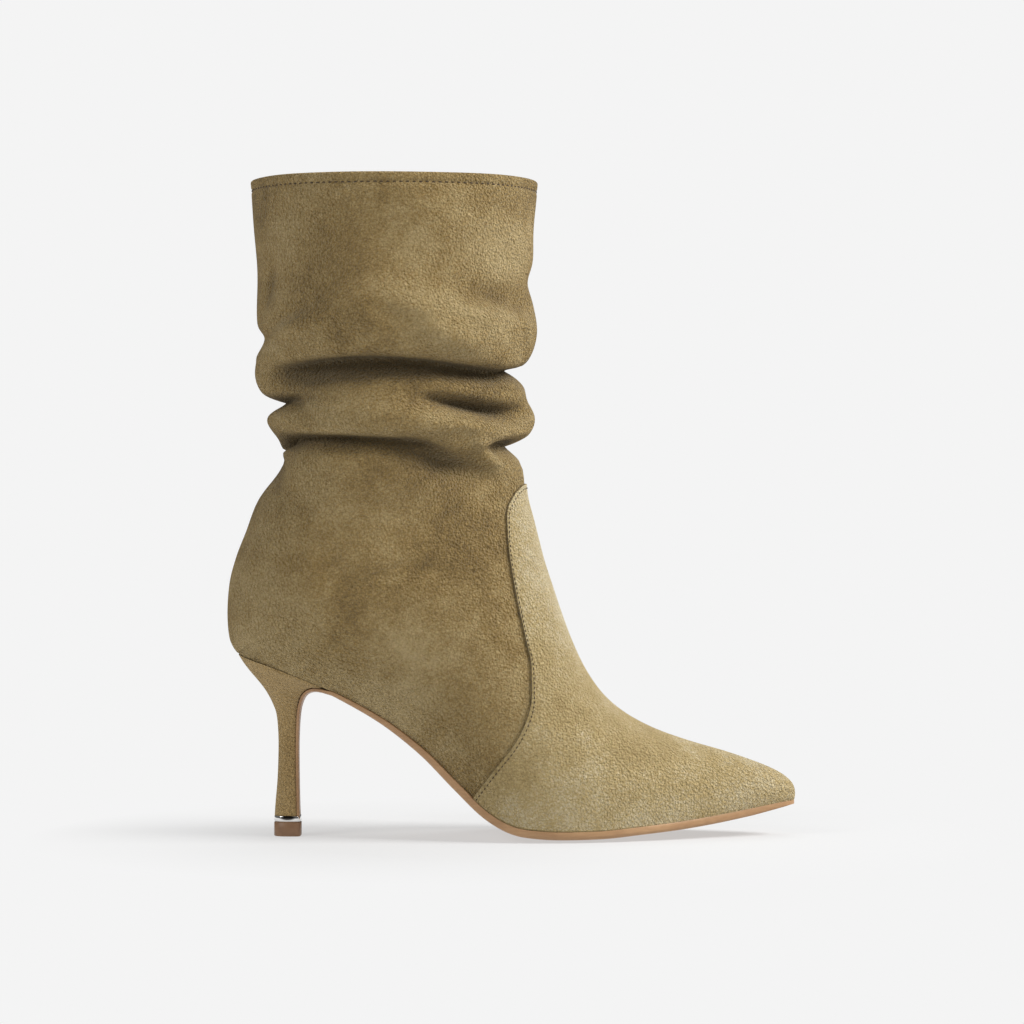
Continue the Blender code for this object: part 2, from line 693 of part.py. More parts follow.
def sole_ring(place, normal, outer, inner, thick, crown, flat):
    """A slice across the sole: flat on its glued side, rounded at its edges and crowned on the other."""
    ring = [(share, 0.0) for share in GLUED_SHARES]
    ring.append((1.0, EDGE_SHOULDER * thick))
    ring += [(share, thick + crown * (1 - share * share)) for share in TREAD_SHARES]
    ring.append((-1.0, EDGE_SHOULDER * thick))
    points = []
    for share, depth in ring:
        across = share * (inner if share > 0 else outer)
        x = place[0] + normal[0] * depth
        z = place[1] + normal[1] * depth
        points.append((x, across, max(z, 0.0) if flat else z))
    return points


def sole_rows(last):
    """The upper's own feather rows from the toe, so that what lies under it keeps an even gap."""
    return [at for at in feather_rows()[::-1] if at < last]


def sole_path():
    """The sole's glued side from the toe to the foot of the breast: rows of (place, outer, inner, thick)."""
    breast_at = np.interp(HEEL_RINGS[0][0] * FOOT_LENGTH, FEATHER[::-1, 2], FEATHER_ROWS[::-1])
    rows = []
    for at in sole_rows(breast_at - BREAST_START_GAP):
        x, z, outer = outline_row(at, SOLE_MARGIN, False)
        inner = outline_row(at, SOLE_MARGIN, True)[2]
        rows.append(((x, z), outer, inner, edge_thickness(x)))
    for at in BREAST_STATIONS:
        breast_x, breast_z, _, _, half = heel_ring_sizes(at)
        narrowing = (BREAST_SHARE_TOP - BREAST_SHARE_STEM) * smooth(at / STEM_STATION)
        reach = half * (BREAST_SHARE_TOP - narrowing)
        rows.append(((breast_x, breast_z), reach, reach, BREAST_LEATHER))
    return rows


def make_outsole(material, collection):
    """The leather sole, from the toe through the waist and down the heel's breast."""
    rows = sole_path()
    places = np.array([row[0] for row in rows])
    breast_start = next(i for i, row in enumerate(rows) if row[3] == BREAST_LEATHER)
    rings = []
    for i, (place, outer, inner, thick) in enumerate(rows):
        run = places[min(i + 1, len(rows) - 1)] - places[max(i - 1, 0)]
        if i == 0:
            run = np.array((-1.0, 0.0))
        normal = np.array((-run[1], run[0])) / np.linalg.norm(run)
        if normal[1] > 0 and i < breast_start:
            normal = -normal
        place = (place[0] + normal[0] * SEAM_GAP, place[1] + normal[1] * SEAM_GAP)
        crown = SOLE_CROWN * smooth((outer - CROWN_FROM) / CROWN_OVER)
        rings.append(sole_ring(place, normal, outer, inner, thick, crown, i < breast_start))
    low = TOP_PIECE_HEIGHT + RING_HEIGHT + 2 * SEAM_GAP
    rings[-1] = [(x, y, low) for x, y, z in rings[-1]]
    points = [[(x, y + swing(x), z) for x, y, z in ring] for ring in rings]
    n = len(points[0])
    flat = [p for ring in points for p in ring]
    faces = [
        (k * n + j, k * n + (j + 1) % n, (k + 1) * n + (j + 1) % n, (k + 1) * n + j)
        for k in range(len(points) - 1)
        for j in range(n)
    ]
    for start in (0, (len(points) - 1) * n):
        faces.append([start + j for j in range(n)])
    return mesh_object("outsole", flat, faces, material, collection)


def make_insole(material, collection):
    """The board that the foot stands on, inside the upper's wall."""
    inset = -(WALL + INSOLE_INSET)
    rings = []
    for at in sole_rows(HEEL_BACK_ROW - INSOLE_HEEL_GAP):
        if at < INSOLE_TOE_SECTION:
            continue
        x, z, outer = outline_row(at, inset, False)
        inner = outline_row(at, inset, True)[2]
        low = [(x, s * (inner if s > 0 else outer) + swing(x), z + 2 * SEAM_GAP) for s in INSOLE_SHARES]
        high = [(px, py, pz + INSOLE_BOARD) for px, py, pz in reversed(low)]
        rings.append(low + high)
    n = len(rings[0])
    points = [p for ring in rings for p in ring]
    faces = [
        (k * n + j, k * n + (j + 1) % n, (k + 1) * n + (j + 1) % n, (k + 1) * n + j)
        for k in range(len(rings) - 1)
        for j in range(n)
    ]
    for start in (0, (len(rings) - 1) * n):
        faces.append([start + j for j in range(n)])
    return mesh_object("insole", points, faces, material, collection)


def centre_on_floor(objects, collection):
    """Stands the boot with the middle of its box over the origin."""
    graph = bpy.context.evaluated_depsgraph_get()
    corners = []
    for obj in objects:
        mesh = obj.evaluated_get(graph).to_mesh()
        corners += [v.co.copy() for v in mesh.vertices]
        obj.evaluated_get(graph).to_mesh_clear()
    low = [min(c[k] for c in corners) for k in (0, 1)]
    high = [max(c[k] for c in corners) for k in (0, 1)]
    stand = bpy.data.objects.new("boot", None)
    collection.objects.link(stand)
    stand.location = (-(low[0] + high[0]) / 2, -(low[1] + high[1]) / 2, 0.0)
    return stand


def main():
    clear_scene()
    boot = new_collection("slouch_boot")
    cutters = new_collection("cutters")
    suede = finish("suede", (0.33, 0.25, 0.13), 0.95)
    vamp_suede = finish("vamp_suede", (0.35, 0.27, 0.15), 0.95)
    heel_suede = finish("heel_suede", (0.32, 0.25, 0.13), 0.95)
    sole_leather = finish("sole_leather", (0.45, 0.25, 0.13), 0.45)
    insole_leather = finish("insole_leather", (0.52, 0.40, 0.26), 0.6)
    silver = finish("silver", (0.80, 0.79, 0.77), 0.12, metallic=1.0)
    tip_rubber = finish("tip_rubber", (0.25, 0.14, 0.07), 0.5)

    pieces = [
        make_upper(suede, boot),
        make_vamp(vamp_suede, boot, cutters),
        make_outsole(sole_leather, boot),
        make_insole(insole_leather, boot),
        make_heel(heel_suede, boot),
        make_tip_slab("heel_band", TOP_PIECE_HEIGHT + SEAM_GAP, TOP_PIECE_HEIGHT + SEAM_GAP + RING_HEIGHT,
                      0.0001, silver, boot),
        make_tip_slab("top_piece", 0.0, TOP_PIECE_HEIGHT, 0.0, tip_rubber, boot),
    ]
    bpy.context.view_layer.update()
    stand = centre_on_floor(pieces, boot)
    for piece in [*pieces, *cutters.objects]:
        piece.parent = stand


main()
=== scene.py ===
"""A right slouch boot in olive suede, with a gathered shaft, a pointed toe and a covered stiletto heel.

Lengths are metres: +X to the toe, +Z up, -Y the boot's outer side. "Along" is measured from the back of
the heel, "up" from the floor, and a "turn" goes round the leg from its back over the outer side.
"""

import math

import bmesh
import bpy
import numpy as np
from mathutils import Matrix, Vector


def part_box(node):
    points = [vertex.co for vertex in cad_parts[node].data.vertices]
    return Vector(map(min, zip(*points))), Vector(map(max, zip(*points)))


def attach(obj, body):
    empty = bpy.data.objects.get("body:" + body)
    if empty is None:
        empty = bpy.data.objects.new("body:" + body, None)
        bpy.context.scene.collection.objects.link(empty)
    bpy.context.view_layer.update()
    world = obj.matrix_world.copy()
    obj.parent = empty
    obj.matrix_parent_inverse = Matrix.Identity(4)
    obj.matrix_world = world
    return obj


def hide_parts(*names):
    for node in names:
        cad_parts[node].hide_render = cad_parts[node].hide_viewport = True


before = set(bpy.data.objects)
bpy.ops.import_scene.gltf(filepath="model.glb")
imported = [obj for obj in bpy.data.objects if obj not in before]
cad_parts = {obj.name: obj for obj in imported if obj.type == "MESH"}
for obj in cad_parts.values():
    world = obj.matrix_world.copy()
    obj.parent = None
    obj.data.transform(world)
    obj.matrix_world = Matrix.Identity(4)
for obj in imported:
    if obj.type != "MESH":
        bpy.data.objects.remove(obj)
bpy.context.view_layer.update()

# Upper: shaft and quarters
# One wall of napped suede, lasted under the foot and gathered above the ankle. It is drawn in slanted
# slices of the foot and rings of the leg; the gathers push that surface in and let it sag.

FOOT_LENGTH = 0.250
BALL_WIDTH = 0.078
HEEL_HEIGHT = 0.080
THROAT_HEIGHT = 0.155
BOOT_HEIGHT = 0.2867
COLLAR_WIDTH = 0.100
TOE_SWING = 0.005
SWING_FROM = 0.42
ARCH_INSET = 0.004
ARCH_MIDDLE = 0.33
ARCH_REACH = 0.11
WALL = 0.0018
ROUNDNESS = 2.15

# Shares: along of FOOT_LENGTH, front_up of THROAT_HEIGHT, under_up of HEEL_HEIGHT, half widths of half
# BALL_WIDTH, and widest of the slice's own length
FOOT_SECTIONS = (
    # front_along, front_up, under_along, under_up, half, widest, under_half
    (0.995, 0.103, 0.995, 0.199, 0.000, 0.50, 0.000),
    (0.996, 0.118, 0.993, 0.199, 0.067, 0.40, 0.049),
    (0.994, 0.136, 0.986, 0.197, 0.128, 0.40, 0.103),
    (0.985, 0.155, 0.974, 0.190, 0.187, 0.40, 0.159),
    (0.966, 0.176, 0.952, 0.178, 0.256, 0.38, 0.226),
    (0.930, 0.201, 0.916, 0.159, 0.360, 0.36, 0.323),
    (0.876, 0.231, 0.860, 0.131, 0.503, 0.32, 0.467),
    (0.812, 0.261, 0.792, 0.104, 0.690, 0.30, 0.651),
    (0.750, 0.297, 0.720, 0.083, 0.859, 0.30, 0.826),
    (0.698, 0.342, 0.652, 0.0655, 0.977, 0.30, 0.944),
    (0.658, 0.397, 0.588, 0.0625, 1.026, 0.30, 0.995),
    (0.627, 0.468, 0.524, 0.0760, 1.020, 0.31, 0.969),
    (0.604, 0.545, 0.468, 0.149, 0.980, 0.34, 0.880),
    (0.585, 0.626, 0.412, 0.305, 0.944, 0.38, 0.774),
    (0.569, 0.703, 0.352, 0.488, 0.923, 0.42, 0.687),
    (0.554, 0.777, 0.284, 0.646, 0.913, 0.45, 0.623),
    (0.543, 0.845, 0.212, 0.771, 0.913, 0.45, 0.636),
    (0.534, 0.903, 0.144, 0.866, 0.918, 0.43, 0.659),
    (0.527, 0.948, 0.084, 0.938, 0.923, 0.42, 0.621),
    (0.524, 0.977, 0.044, 0.979, 0.928, 0.42, 0.456),
    (0.523, 0.994, 0.025, 0.998, 0.931, 0.42, 0.236),
    (0.523, 1.003, 0.019, 1.004, 0.933, 0.42, 0.000),
)

# Shares: along of FOOT_LENGTH, front_rise of the height from throat to collar, back_rise of the height
# from heel seat to collar, half of half COLLAR_WIDTH, and widest of the ring's own length
LEG_RINGS = (
    # front_along, front_rise, back_along, back_rise, half, widest
    (0.5220, 0.019, 0.0036, 0.034, 0.732, 0.42),
    (0.5215, 0.034, 0.0000, 0.087, 0.738, 0.42),
    (0.5205, 0.049, 0.0036, 0.150, 0.748, 0.43),
    (0.5200, 0.065, 0.0160, 0.208, 0.768, 0.44),
    (0.5200, 0.080, 0.0345, 0.266, 0.796, 0.45),
    (0.5200, 0.095, 0.0496, 0.324, 0.824, 0.46),
    (0.5200, 0.110, 0.0600, 0.372, 0.850, 0.47),
    (0.5210, 0.130, 0.0652, 0.416, 0.872, 0.48),
    (0.5220, 0.160, 0.0660, 0.450, 0.888, 0.49),
    (0.5240, 0.205, 0.0660, 0.494, 0.900, 0.50),
    (0.5280, 0.342, 0.0620, 0.581, 0.930, 0.50),
    (0.5320, 0.494, 0.0572, 0.677, 0.952, 0.50),
    (0.5344, 0.645, 0.0532, 0.774, 0.968, 0.50),
    (0.5384, 0.812, 0.0480, 0.880, 0.984, 0.50),
    (0.5440, 1.000, 0.0404, 1.000, 1.000, 0.50),
)

# The three main creases. Shares: lip_up of BOOT_HEIGHT, depth of FOLD_DEPTH.
FOLD_DEPTH = 0.0088
FOLD_BULGE = 0.0034
BULGE_LEAN = 0.8
FOLD_SAG = 0.0036
ROUND_AT_ENDS = 0.60
CREASE_DROP = 0.0024
TOP_BULGE_HEIGHT = 0.036
LOWER_CREASE = (
    # turn, lip_up, depth
    (0.000, 0.597, 0.95),
    (0.040, 0.606, 0.90),
    (0.080, 0.618, 0.90),
    (0.150, 0.622, 0.95),
    (0.218, 0.620, 0.95),
    (0.262, 0.617, 0.90),
    (0.292, 0.613, 0.75),
    (0.318, 0.598, 0.50),
    (0.345, 0.587, 0.25),
    (0.372, 0.598, 0.35),
    (0.409, 0.611, 0.80),
    (0.450, 0.614, 1.00),
    (0.500, 0.612, 1.05),
    (0.600, 0.602, 0.80),
    (0.720, 0.608, 0.45),
    (0.840, 0.601, 0.60),
    (0.930, 0.597, 0.85),
)
MIDDLE_CREASE = (
    # turn, lip_up, depth
    (0.000, 0.675, 1.00),
    (0.060, 0.676, 0.95),
    (0.115, 0.677, 0.45),
    (0.170, 0.674, 0.10),
    (0.250, 0.672, 0.00),
    (0.285, 0.674, 0.25),
    (0.330, 0.668, 0.45),
    (0.370, 0.661, 0.50),
    (0.410, 0.656, 0.35),
    (0.455, 0.660, 0.18),
    (0.500, 0.672, 0.12),
    (0.600, 0.664, 0.20),
    (0.700, 0.658, 0.60),
    (0.800, 0.660, 0.90),
    (0.900, 0.669, 1.00),
)
UPPER_CREASE = (
    # turn, lip_up, depth
    (0.000, 0.732, 0.05),
    (0.065, 0.720, 0.30),
    (0.115, 0.727, 0.80),
    (0.160, 0.736, 1.00),
    (0.218, 0.740, 1.05),
    (0.290, 0.735, 1.05),
    (0.358, 0.724, 0.95),
    (0.416, 0.720, 1.05),
    (0.500, 0.722, 1.05),
    (0.580, 0.726, 0.95),
    (0.700, 0.734, 0.75),
    (0.800, 0.730, 0.45),
    (0.900, 0.728, 0.15),
)
CREASES = (
    # table, reach above the crease's bottom, reach below it
    (LOWER_CREASE, 0.0022, 0.0065),
    (MIDDLE_CREASE, 0.0026, 0.0050),
    (UPPER_CREASE, 0.0022, 0.0115),
)

# Lesser troughs, and ridges where depth is negative. up is a share of BOOT_HEIGHT, the rest is metres.
DENTS = (
    # from_turn, from_up, to_turn, to_up, depth, above, below
    (-0.120, 0.762, 0.120, 0.762, 0.0030, 0.0035, 0.0060),
    (0.050, 0.766, 0.180, 0.815, 0.0026, 0.0038, 0.0050),
    (0.045, 0.750, 0.180, 0.792, -0.0014, 0.0040, 0.0040),
    (0.040, 0.795, 0.110, 0.890, 0.0022, 0.0060, 0.0060),
    (0.225, 0.800, 0.300, 0.765, 0.0018, 0.0050, 0.0050),
    (0.310, 0.826, 0.475, 0.810, 0.0040, 0.0050, 0.0060),
    (0.250, 0.776, 0.375, 0.742, -0.0020, 0.0050, 0.0040),
    (0.325, 0.800, 0.385, 0.772, -0.0018, 0.0040, 0.0040),
    (0.415, 0.790, 0.470, 0.728, 0.0030, 0.0040, 0.0040),
    (0.270, 0.762, 0.400, 0.748, -0.0016, 0.0050, 0.0050),
    (0.240, 0.592, 0.420, 0.545, 0.0038, 0.0035, 0.0060),
    (0.270, 0.674, 0.485, 0.641, 0.0056, 0.0034, 0.0046),
    (0.290, 0.694, 0.480, 0.684, -0.0014, 0.0030, 0.0030),
    (0.040, 0.712, 0.300, 0.716, 0.0042, 0.0060, 0.0100),
    (0.260, 0.716, 0.420, 0.706, 0.0030, 0.0050, 0.0080),
    (0.260, 0.632, 0.420, 0.620, -0.0020, 0.0040, 0.0030),
    (0.400, 0.720, 0.600, 0.720, 0.0030, 0.0045, 0.0030),
    (-0.140, 0.602, 0.140, 0.602, 0.0050, 0.0075, 0.0026),
    (0.395, 0.667, 0.605, 0.667, -0.0026, 0.0045, 0.0060),
    (-0.125, 0.572, 0.125, 0.572, 0.0080, 0.0035, 0.0115),
    (0.405, 0.690, 0.595, 0.690, -0.0020, 0.0050, 0.0040),
    (0.055, 0.545, 0.190, 0.505, 0.0020, 0.0050, 0.0080),
    (0.400, 0.850, 0.600, 0.850, 0.0020, 0.0060, 0.0060),
    (0.205, 0.425, 0.265, 0.390, 0.0008, 0.0100, 0.0100),
    (0.090, 0.672, 0.170, 0.635, 0.0024, 0.0022, 0.0045),
    (0.345, 0.614, 0.425, 0.552, -0.0024, 0.0040, 0.0040),
    (-0.150, 0.722, 0.150, 0.722, -0.0036, 0.0080, 0.0100),
    (-0.160, 0.616, 0.160, 0.616, 0.0040, 0.0130, 0.0060),
    (0.400, 0.640, 0.600, 0.636, -0.0022, 0.0080, 0.0070),
    (0.560, 0.800, 0.720, 0.770, 0.0022, 0.0060, 0.0070),
    (0.760, 0.775, 0.920, 0.800, 0.0018, 0.0060, 0.0070),
    (0.580, 0.560, 0.720, 0.545, 0.0018, 0.0040, 0.0060),
    (0.800, 0.540, 0.940, 0.515, 0.0016, 0.0050, 0.0070),
)
# The folded hem is drawn in along its row of stitches
COLLAR_INSET = 0.0034
HEM_GROOVE = 0.0005
HEM_GROOVE_WIDE = 0.0009
# A slow unevenness of the hand over the shaft. It begins and is full at these shares of BOOT_HEIGHT.
WAVES_FROM = 0.45
WAVES_FULL = 0.60
WAVES = (
    # rounds, rise, depth
    (3, 0.043, 0.00035),
    (-5, 0.071, 0.00030),
    (8, 0.055, 0.00018),
)


def held(one, other):
    """The slope where two steps meet, held back so that a curve never swings past its rows."""
    mean = (one + other) / 2
    most = 2 * np.minimum(np.abs(one), np.abs(other))
    return np.where(one * other > 0, np.sign(mean) * np.minimum(np.abs(mean), most), 0.0)


def curve(rows, at):
    """The rows of numbers at fractional indices, on smooth curves through the rows."""
    rows, at = np.asarray(rows, float), np.asarray(at, float)
    last = len(rows) - 1
    i = np.clip(at.astype(int), 0, last - 1)
    f = (at - i)[..., None]
    start, end = rows[i], rows[i + 1]
    step = end - start
    step_before = np.where((i > 0)[..., None], start - rows[np.maximum(i - 1, 0)], step)
    step_after = np.where((i + 2 <= last)[..., None], rows[np.minimum(i + 2, last)] - end, step)
    leave, arrive = held(step_before, step), held(step, step_after)
    return (
        start * (1 + 2 * f) * (1 - f) ** 2
        + leave * f * (1 - f) ** 2
        + end * f * f * (3 - 2 * f)
        - arrive * f * f * (1 - f)
    )


def smooth(x):
    """0 to 1, with a soft start and end."""
    x = np.clip(x, 0.0, 1.0)
    return x * x * (3 - 2 * x)


def section_table():
    """Every slice and ring in metres: front (along, up), under (along, up), half, widest, under half."""
    foot = np.array(FOOT_SECTIONS) * (FOOT_LENGTH, THROAT_HEIGHT, FOOT_LENGTH, HEEL_HEIGHT, BALL_WIDTH / 2,
                                      1.0, BALL_WIDTH / 2)
    rings = []
    for front_along, front_rise, back_along, back_rise, half, widest in LEG_RINGS:
        front_up = THROAT_HEIGHT + front_rise * (BOOT_HEIGHT - THROAT_HEIGHT)
        back_up = HEEL_HEIGHT + back_rise * (BOOT_HEIGHT - HEEL_HEIGHT)
        rings.append((front_along * FOOT_LENGTH, front_up, back_along * FOOT_LENGTH, back_up,
                      half * COLLAR_WIDTH / 2, widest, 0.0))
    return np.concatenate([foot, rings])


SECTIONS = section_table()
HEEL_BACK_ROW = len(FOOT_SECTIONS) - 1
COLLAR_ROW = len(SECTIONS) - 1
# The ring where the foot's columns end and the leg's rings begin
BASE_ROW = HEEL_BACK_ROW + 4.6
# The gathers fade out over these rows, at the top of the foot
GATHER_START_ROW = HEEL_BACK_ROW - 6
GATHER_FADE_ROWS = 3


def round_leg(table, turn):
    """(lip up in metres, depth) of a crease at these turns."""
    rows = np.asarray(table, float)
    rows = np.concatenate([rows[-2:] - (1, 0, 0), rows, rows[:2] + (1, 0, 0)])
    found = curve(rows, np.interp(turn, rows[:, 0], np.arange(len(rows))))
    return found[..., 1] * BOOT_HEIGHT, np.maximum(found[..., 2], 0.0)


def swing(along):
    """How far the foot's middle line has swung to the inner side."""
    return TOE_SWING * smooth((along / FOOT_LENGTH - SWING_FROM) / (1 - SWING_FROM))


def arch_inset(along, inner):
    """How much narrower the feather edge is on the inner side, in the waist."""
    away = (along / FOOT_LENGTH - ARCH_MIDDLE) / ARCH_REACH
    return np.where(inner, ARCH_INSET * np.exp(-(away**2)), 0.0)


def arc_point(angle, end_angle, widest, blunt):
    """(share along the slice, share of the half width) of a slice's outline. Angle 0 is its front."""
    across = np.clip(np.sin(angle), 0.0, 1.0) ** (2 / blunt)
    front = widest + (1 - widest) * np.clip(np.cos(angle), 0.0, 1.0) ** (2 / blunt)
    behind = np.clip(np.cos(angle) / np.minimum(np.cos(end_angle), -1e-6), 0.0, 1.0)
    return np.where(angle <= math.pi / 2, front, widest * (1 - behind ** (2 / blunt))), across


def section_points(at, turn):
    """Points of the upper before the shaft is gathered, and the slices' middles and half sizes."""
    at, turn = np.broadcast_arrays(np.asarray(at, float), np.asarray(turn, float))
    front_x, front_z, under_x, under_z, half, widest, under_half = np.moveaxis(curve(SECTIONS, at), -1, 0)
    half = np.maximum(half, 1e-7)
    inner = turn > 0.5
    share = 2 * np.where(inner, 1 - turn, turn)
    edge = np.clip((under_half - arch_inset(under_x, inner)) / half, 0.0, 0.999)
    edge = np.where(at < HEEL_BACK_ROW, edge, 0.0)
    end_angle = math.pi - np.arcsin(edge ** (ROUNDNESS / 2))
    along, across = arc_point(end_angle * (1 - share), end_angle, widest, ROUNDNESS)
    x = under_x + (front_x - under_x) * along
    z = under_z + (front_z - under_z) * along
    y = half * across * np.where(inner, 1, -1)
    return x, y, z, (front_x + under_x) / 2, np.abs(front_x - under_x) / 2 + 1e-7, half


def gather(turn, up):
    """(outward, downward) shift of the shaft's leather at these turns and heights."""
    lips = [round_leg(table, turn) for table, _, _ in CREASES]
    tops = [lips[1][0], lips[2][0], lips[2][0] + TOP_BULGE_HEIGHT]
    next_depths = [lips[1][1], lips[2][1], lips[2][1]]
    sag = FOLD_SAG * (1 - ROUND_AT_ENDS * np.cos(2 * math.pi * turn) ** 4)
    out, down = np.zeros_like(up), np.zeros_like(up)
    for (_, above, below), (lip, depth), top, next_depth in zip(CREASES, lips, tops, next_depths):
        s = up - lip
        inside = s + CREASE_DROP
        spread = np.where(inside > 0, above, below)
        out = out - depth * FOLD_DEPTH * np.exp(-((inside / spread) ** 2))
        down = down + depth * sag * np.exp(-(((s - CREASE_DROP) / (2 * above)) ** 2))
        rise = np.clip(s / (top - lip), 0.0, 1.0)
        out = out + (depth + next_depth) / 2 * FOLD_BULGE * np.sin(math.pi * rise**BULGE_LEAN) ** 2
    for from_turn, from_up, to_turn, to_up, depth, above, below in DENTS:
        middle = (from_turn + to_turn) / 2
        near = (turn - middle + 0.5) % 1.0 - 0.5 + middle
        share = np.clip((near - from_turn) / (to_turn - from_turn), 0.0, 1.0)
        line = (from_up + (to_up - from_up) * share) * BOOT_HEIGHT
        spread = np.where(up > line, above, below)
        out = out - depth * np.sin(math.pi * share) * np.exp(-(((up - line) / spread) ** 2))
    shaft = smooth((up / BOOT_HEIGHT - WAVES_FROM) / (WAVES_FULL - WAVES_FROM))
    for rounds, rise, depth in WAVES:
        out = out + shaft * depth * np.sin(2 * math.pi * (rounds * turn + up / rise))
    out = out - HEM_GROOVE * np.exp(-(((up - BOOT_HEIGHT + COLLAR_INSET) / HEM_GROOVE_WIDE) ** 2))
    return out, down


def upper_points(at, turn, offset=0.0):
    """Points on the upper's outer surface, or this far outside it, as rows of (x, y, z)."""
    at, turn = np.broadcast_arrays(np.asarray(at, float), np.asarray(turn, float))

    def surface(at, turn):
        x, y, z, middle, half_length, half = section_points(at, turn)
        out, down = gather(turn, z)
        normal_x, normal_y = (x - middle) / half_length**2, y / half**2
        long = np.maximum(np.hypot(normal_x, normal_y), 1e-9)
        leg = smooth((at - GATHER_START_ROW) / GATHER_FADE_ROWS)
        x = x + leg * out * normal_x / long
        y = y + leg * out * normal_y / long
        return np.stack([x + FOOT_BACK, y + swing(x) + FOOT_MIDDLE, z - leg * down], axis=-1)

    points = surface(at, turn)
    if np.any(np.asarray(offset) != 0.0):
        row, part = 0.02, 0.002
        low, high = np.maximum(at - row, 0.0), np.minimum(at + row, COLLAR_ROW)
        up = surface(high, turn) - surface(low, turn)
        side = surface(at, turn + part) - surface(at, np.maximum(turn - part, 0.0))
        normal = np.cross(side, up)
        normal /= np.maximum(np.linalg.norm(normal, axis=-1, keepdims=True), 1e-12)
        points = points + normal * np.asarray(offset)[..., None]
    return points


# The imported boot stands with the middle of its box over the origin
TIP_LOW, TIP_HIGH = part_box("top_piece")
FOOT_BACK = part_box("upper")[0].x
FOOT_MIDDLE = (TIP_LOW.y + TIP_HIGH.y) / 2

SIDE_COLUMNS = 150
FOOT_LEVELS = 84
PATH_STEPS = 90
LEVEL_LEAN_HEEL = 1.15
LEVEL_LEAN_TOE = 1.50
COLUMN_SPACING = (
    # from heel to toe, spacing at the feather edge
    (0.00, 0.40),
    (0.12, 0.50),
    (0.28, 1.25),
    (0.80, 1.25),
    (1.00, 0.50),
)
LEVELS_BETWEEN_CREASES = (28, 40, 40, 58, 18)
HEM_DEPTH = 0.008

FEATHER_ROWS = np.linspace(0, HEEL_BACK_ROW, 421)
FEATHER = curve(SECTIONS, FEATHER_ROWS)


def feather_rows(columns):
    """The section row where each column starts, from the back of the heel to the toe."""
    outline = np.stack([FEATHER[:, 2], FEATHER[:, 3], FEATHER[:, 6]], axis=-1)
    from_toe = np.concatenate([[0], np.cumsum(np.linalg.norm(np.diff(outline, axis=0), axis=1))])
    fine = np.linspace(0, 1, 801)
    place, spacing = zip(*COLUMN_SPACING)
    passed = np.cumsum(np.interp(fine, place, spacing))
    passed = (passed - passed[0]) / (passed[-1] - passed[0])
    share = np.interp(np.linspace(0, 1, columns + 1), fine, passed)
    return np.interp((1 - share) * from_toe[-1], from_toe, FEATHER_ROWS)


def half_girths(at):
    """Length of each slice from the feather edge to the ridge, as a share of the last foot slice's."""
    turns = np.linspace(0, 0.5, 25)
    rows = np.append(at, HEEL_BACK_ROW)
    points = np.stack(section_points(rows[:, None], turns[None, :])[:3], axis=-1)
    girth = np.linalg.norm(np.diff(points, axis=1), axis=2).sum(axis=1)
    return girth[:-1] / girth[-1]


def both_sides(rows, turns):
    """A side's grid with its mirror, as one closed round of columns."""
    return (np.concatenate([rows, rows[:, -2:0:-1]], axis=1),
            np.concatenate([turns, 1 - turns[:, -2:0:-1]], axis=1))


def foot_grid(columns, levels):
    """(section row, turn) of each point from the feather edge up to the instep."""
    t = np.linspace(0, 1, PATH_STEPS)
    ridge_girth = half_girths(HEEL_BACK_ROW * t)
    rows = np.empty((levels + 1, columns + 1))
    turns = np.empty_like(rows)
    for k, start in enumerate(feather_rows(columns)):
        u = k / columns
        foot = start + (HEEL_BACK_ROW - start) * t
        share = u * ridge_girth / np.maximum(half_girths(foot), 1e-6)
        share[0] = 1.0 if k == columns else 0.0
        at = np.concatenate([foot, HEEL_BACK_ROW + (BASE_ROW - HEEL_BACK_ROW) * t[1:]])
        turn = np.concatenate([np.minimum(share, 1.0), u * np.ones(len(t) - 1)]) / 2
        path = np.stack(section_points(at, turn)[:3], axis=-1)
        run = np.concatenate([[0], np.cumsum(np.linalg.norm(np.diff(path, axis=0), axis=1))])
        lean = LEVEL_LEAN_HEEL + (LEVEL_LEAN_TOE - LEVEL_LEAN_HEEL) * u
        places = np.linspace(0, 1, levels + 1) ** lean * run[-1]
        rows[:, k] = np.interp(places, run, at)
        turns[:, k] = np.interp(places, run, turn)
    return both_sides(rows, turns)


def leg_grid(columns, steps):
    """(section row, turn) above the instep, on levels that follow the creases and the hem round the leg."""
    turns = np.linspace(0, 1, 2 * columns + 1)[:-1]
    row_steps = np.linspace(HEEL_BACK_ROW, COLLAR_ROW, 300)
    heights_of_rows = section_points(row_steps[:, None], turns[None, :])[2]
    lips = [round_leg(table, turns)[0] for table, _, _ in CREASES]
    base = section_points(BASE_ROW * np.ones_like(turns), turns)[2]
    collar = section_points(COLLAR_ROW * np.ones_like(turns), turns)[2]
    levels = [base, *lips, collar - HEM_DEPTH, collar]
    rings = []
    for k, count in enumerate(steps):
        for share in np.linspace(0, 1, count + 1)[1:]:
            heights = levels[k] + share * (levels[k + 1] - levels[k])
            rings.append([np.interp(h, heights_of_rows[:, j], row_steps) for j, h in enumerate(heights)])
    rows = np.array(rings)
    return rows, np.broadcast_to(turns, rows.shape)


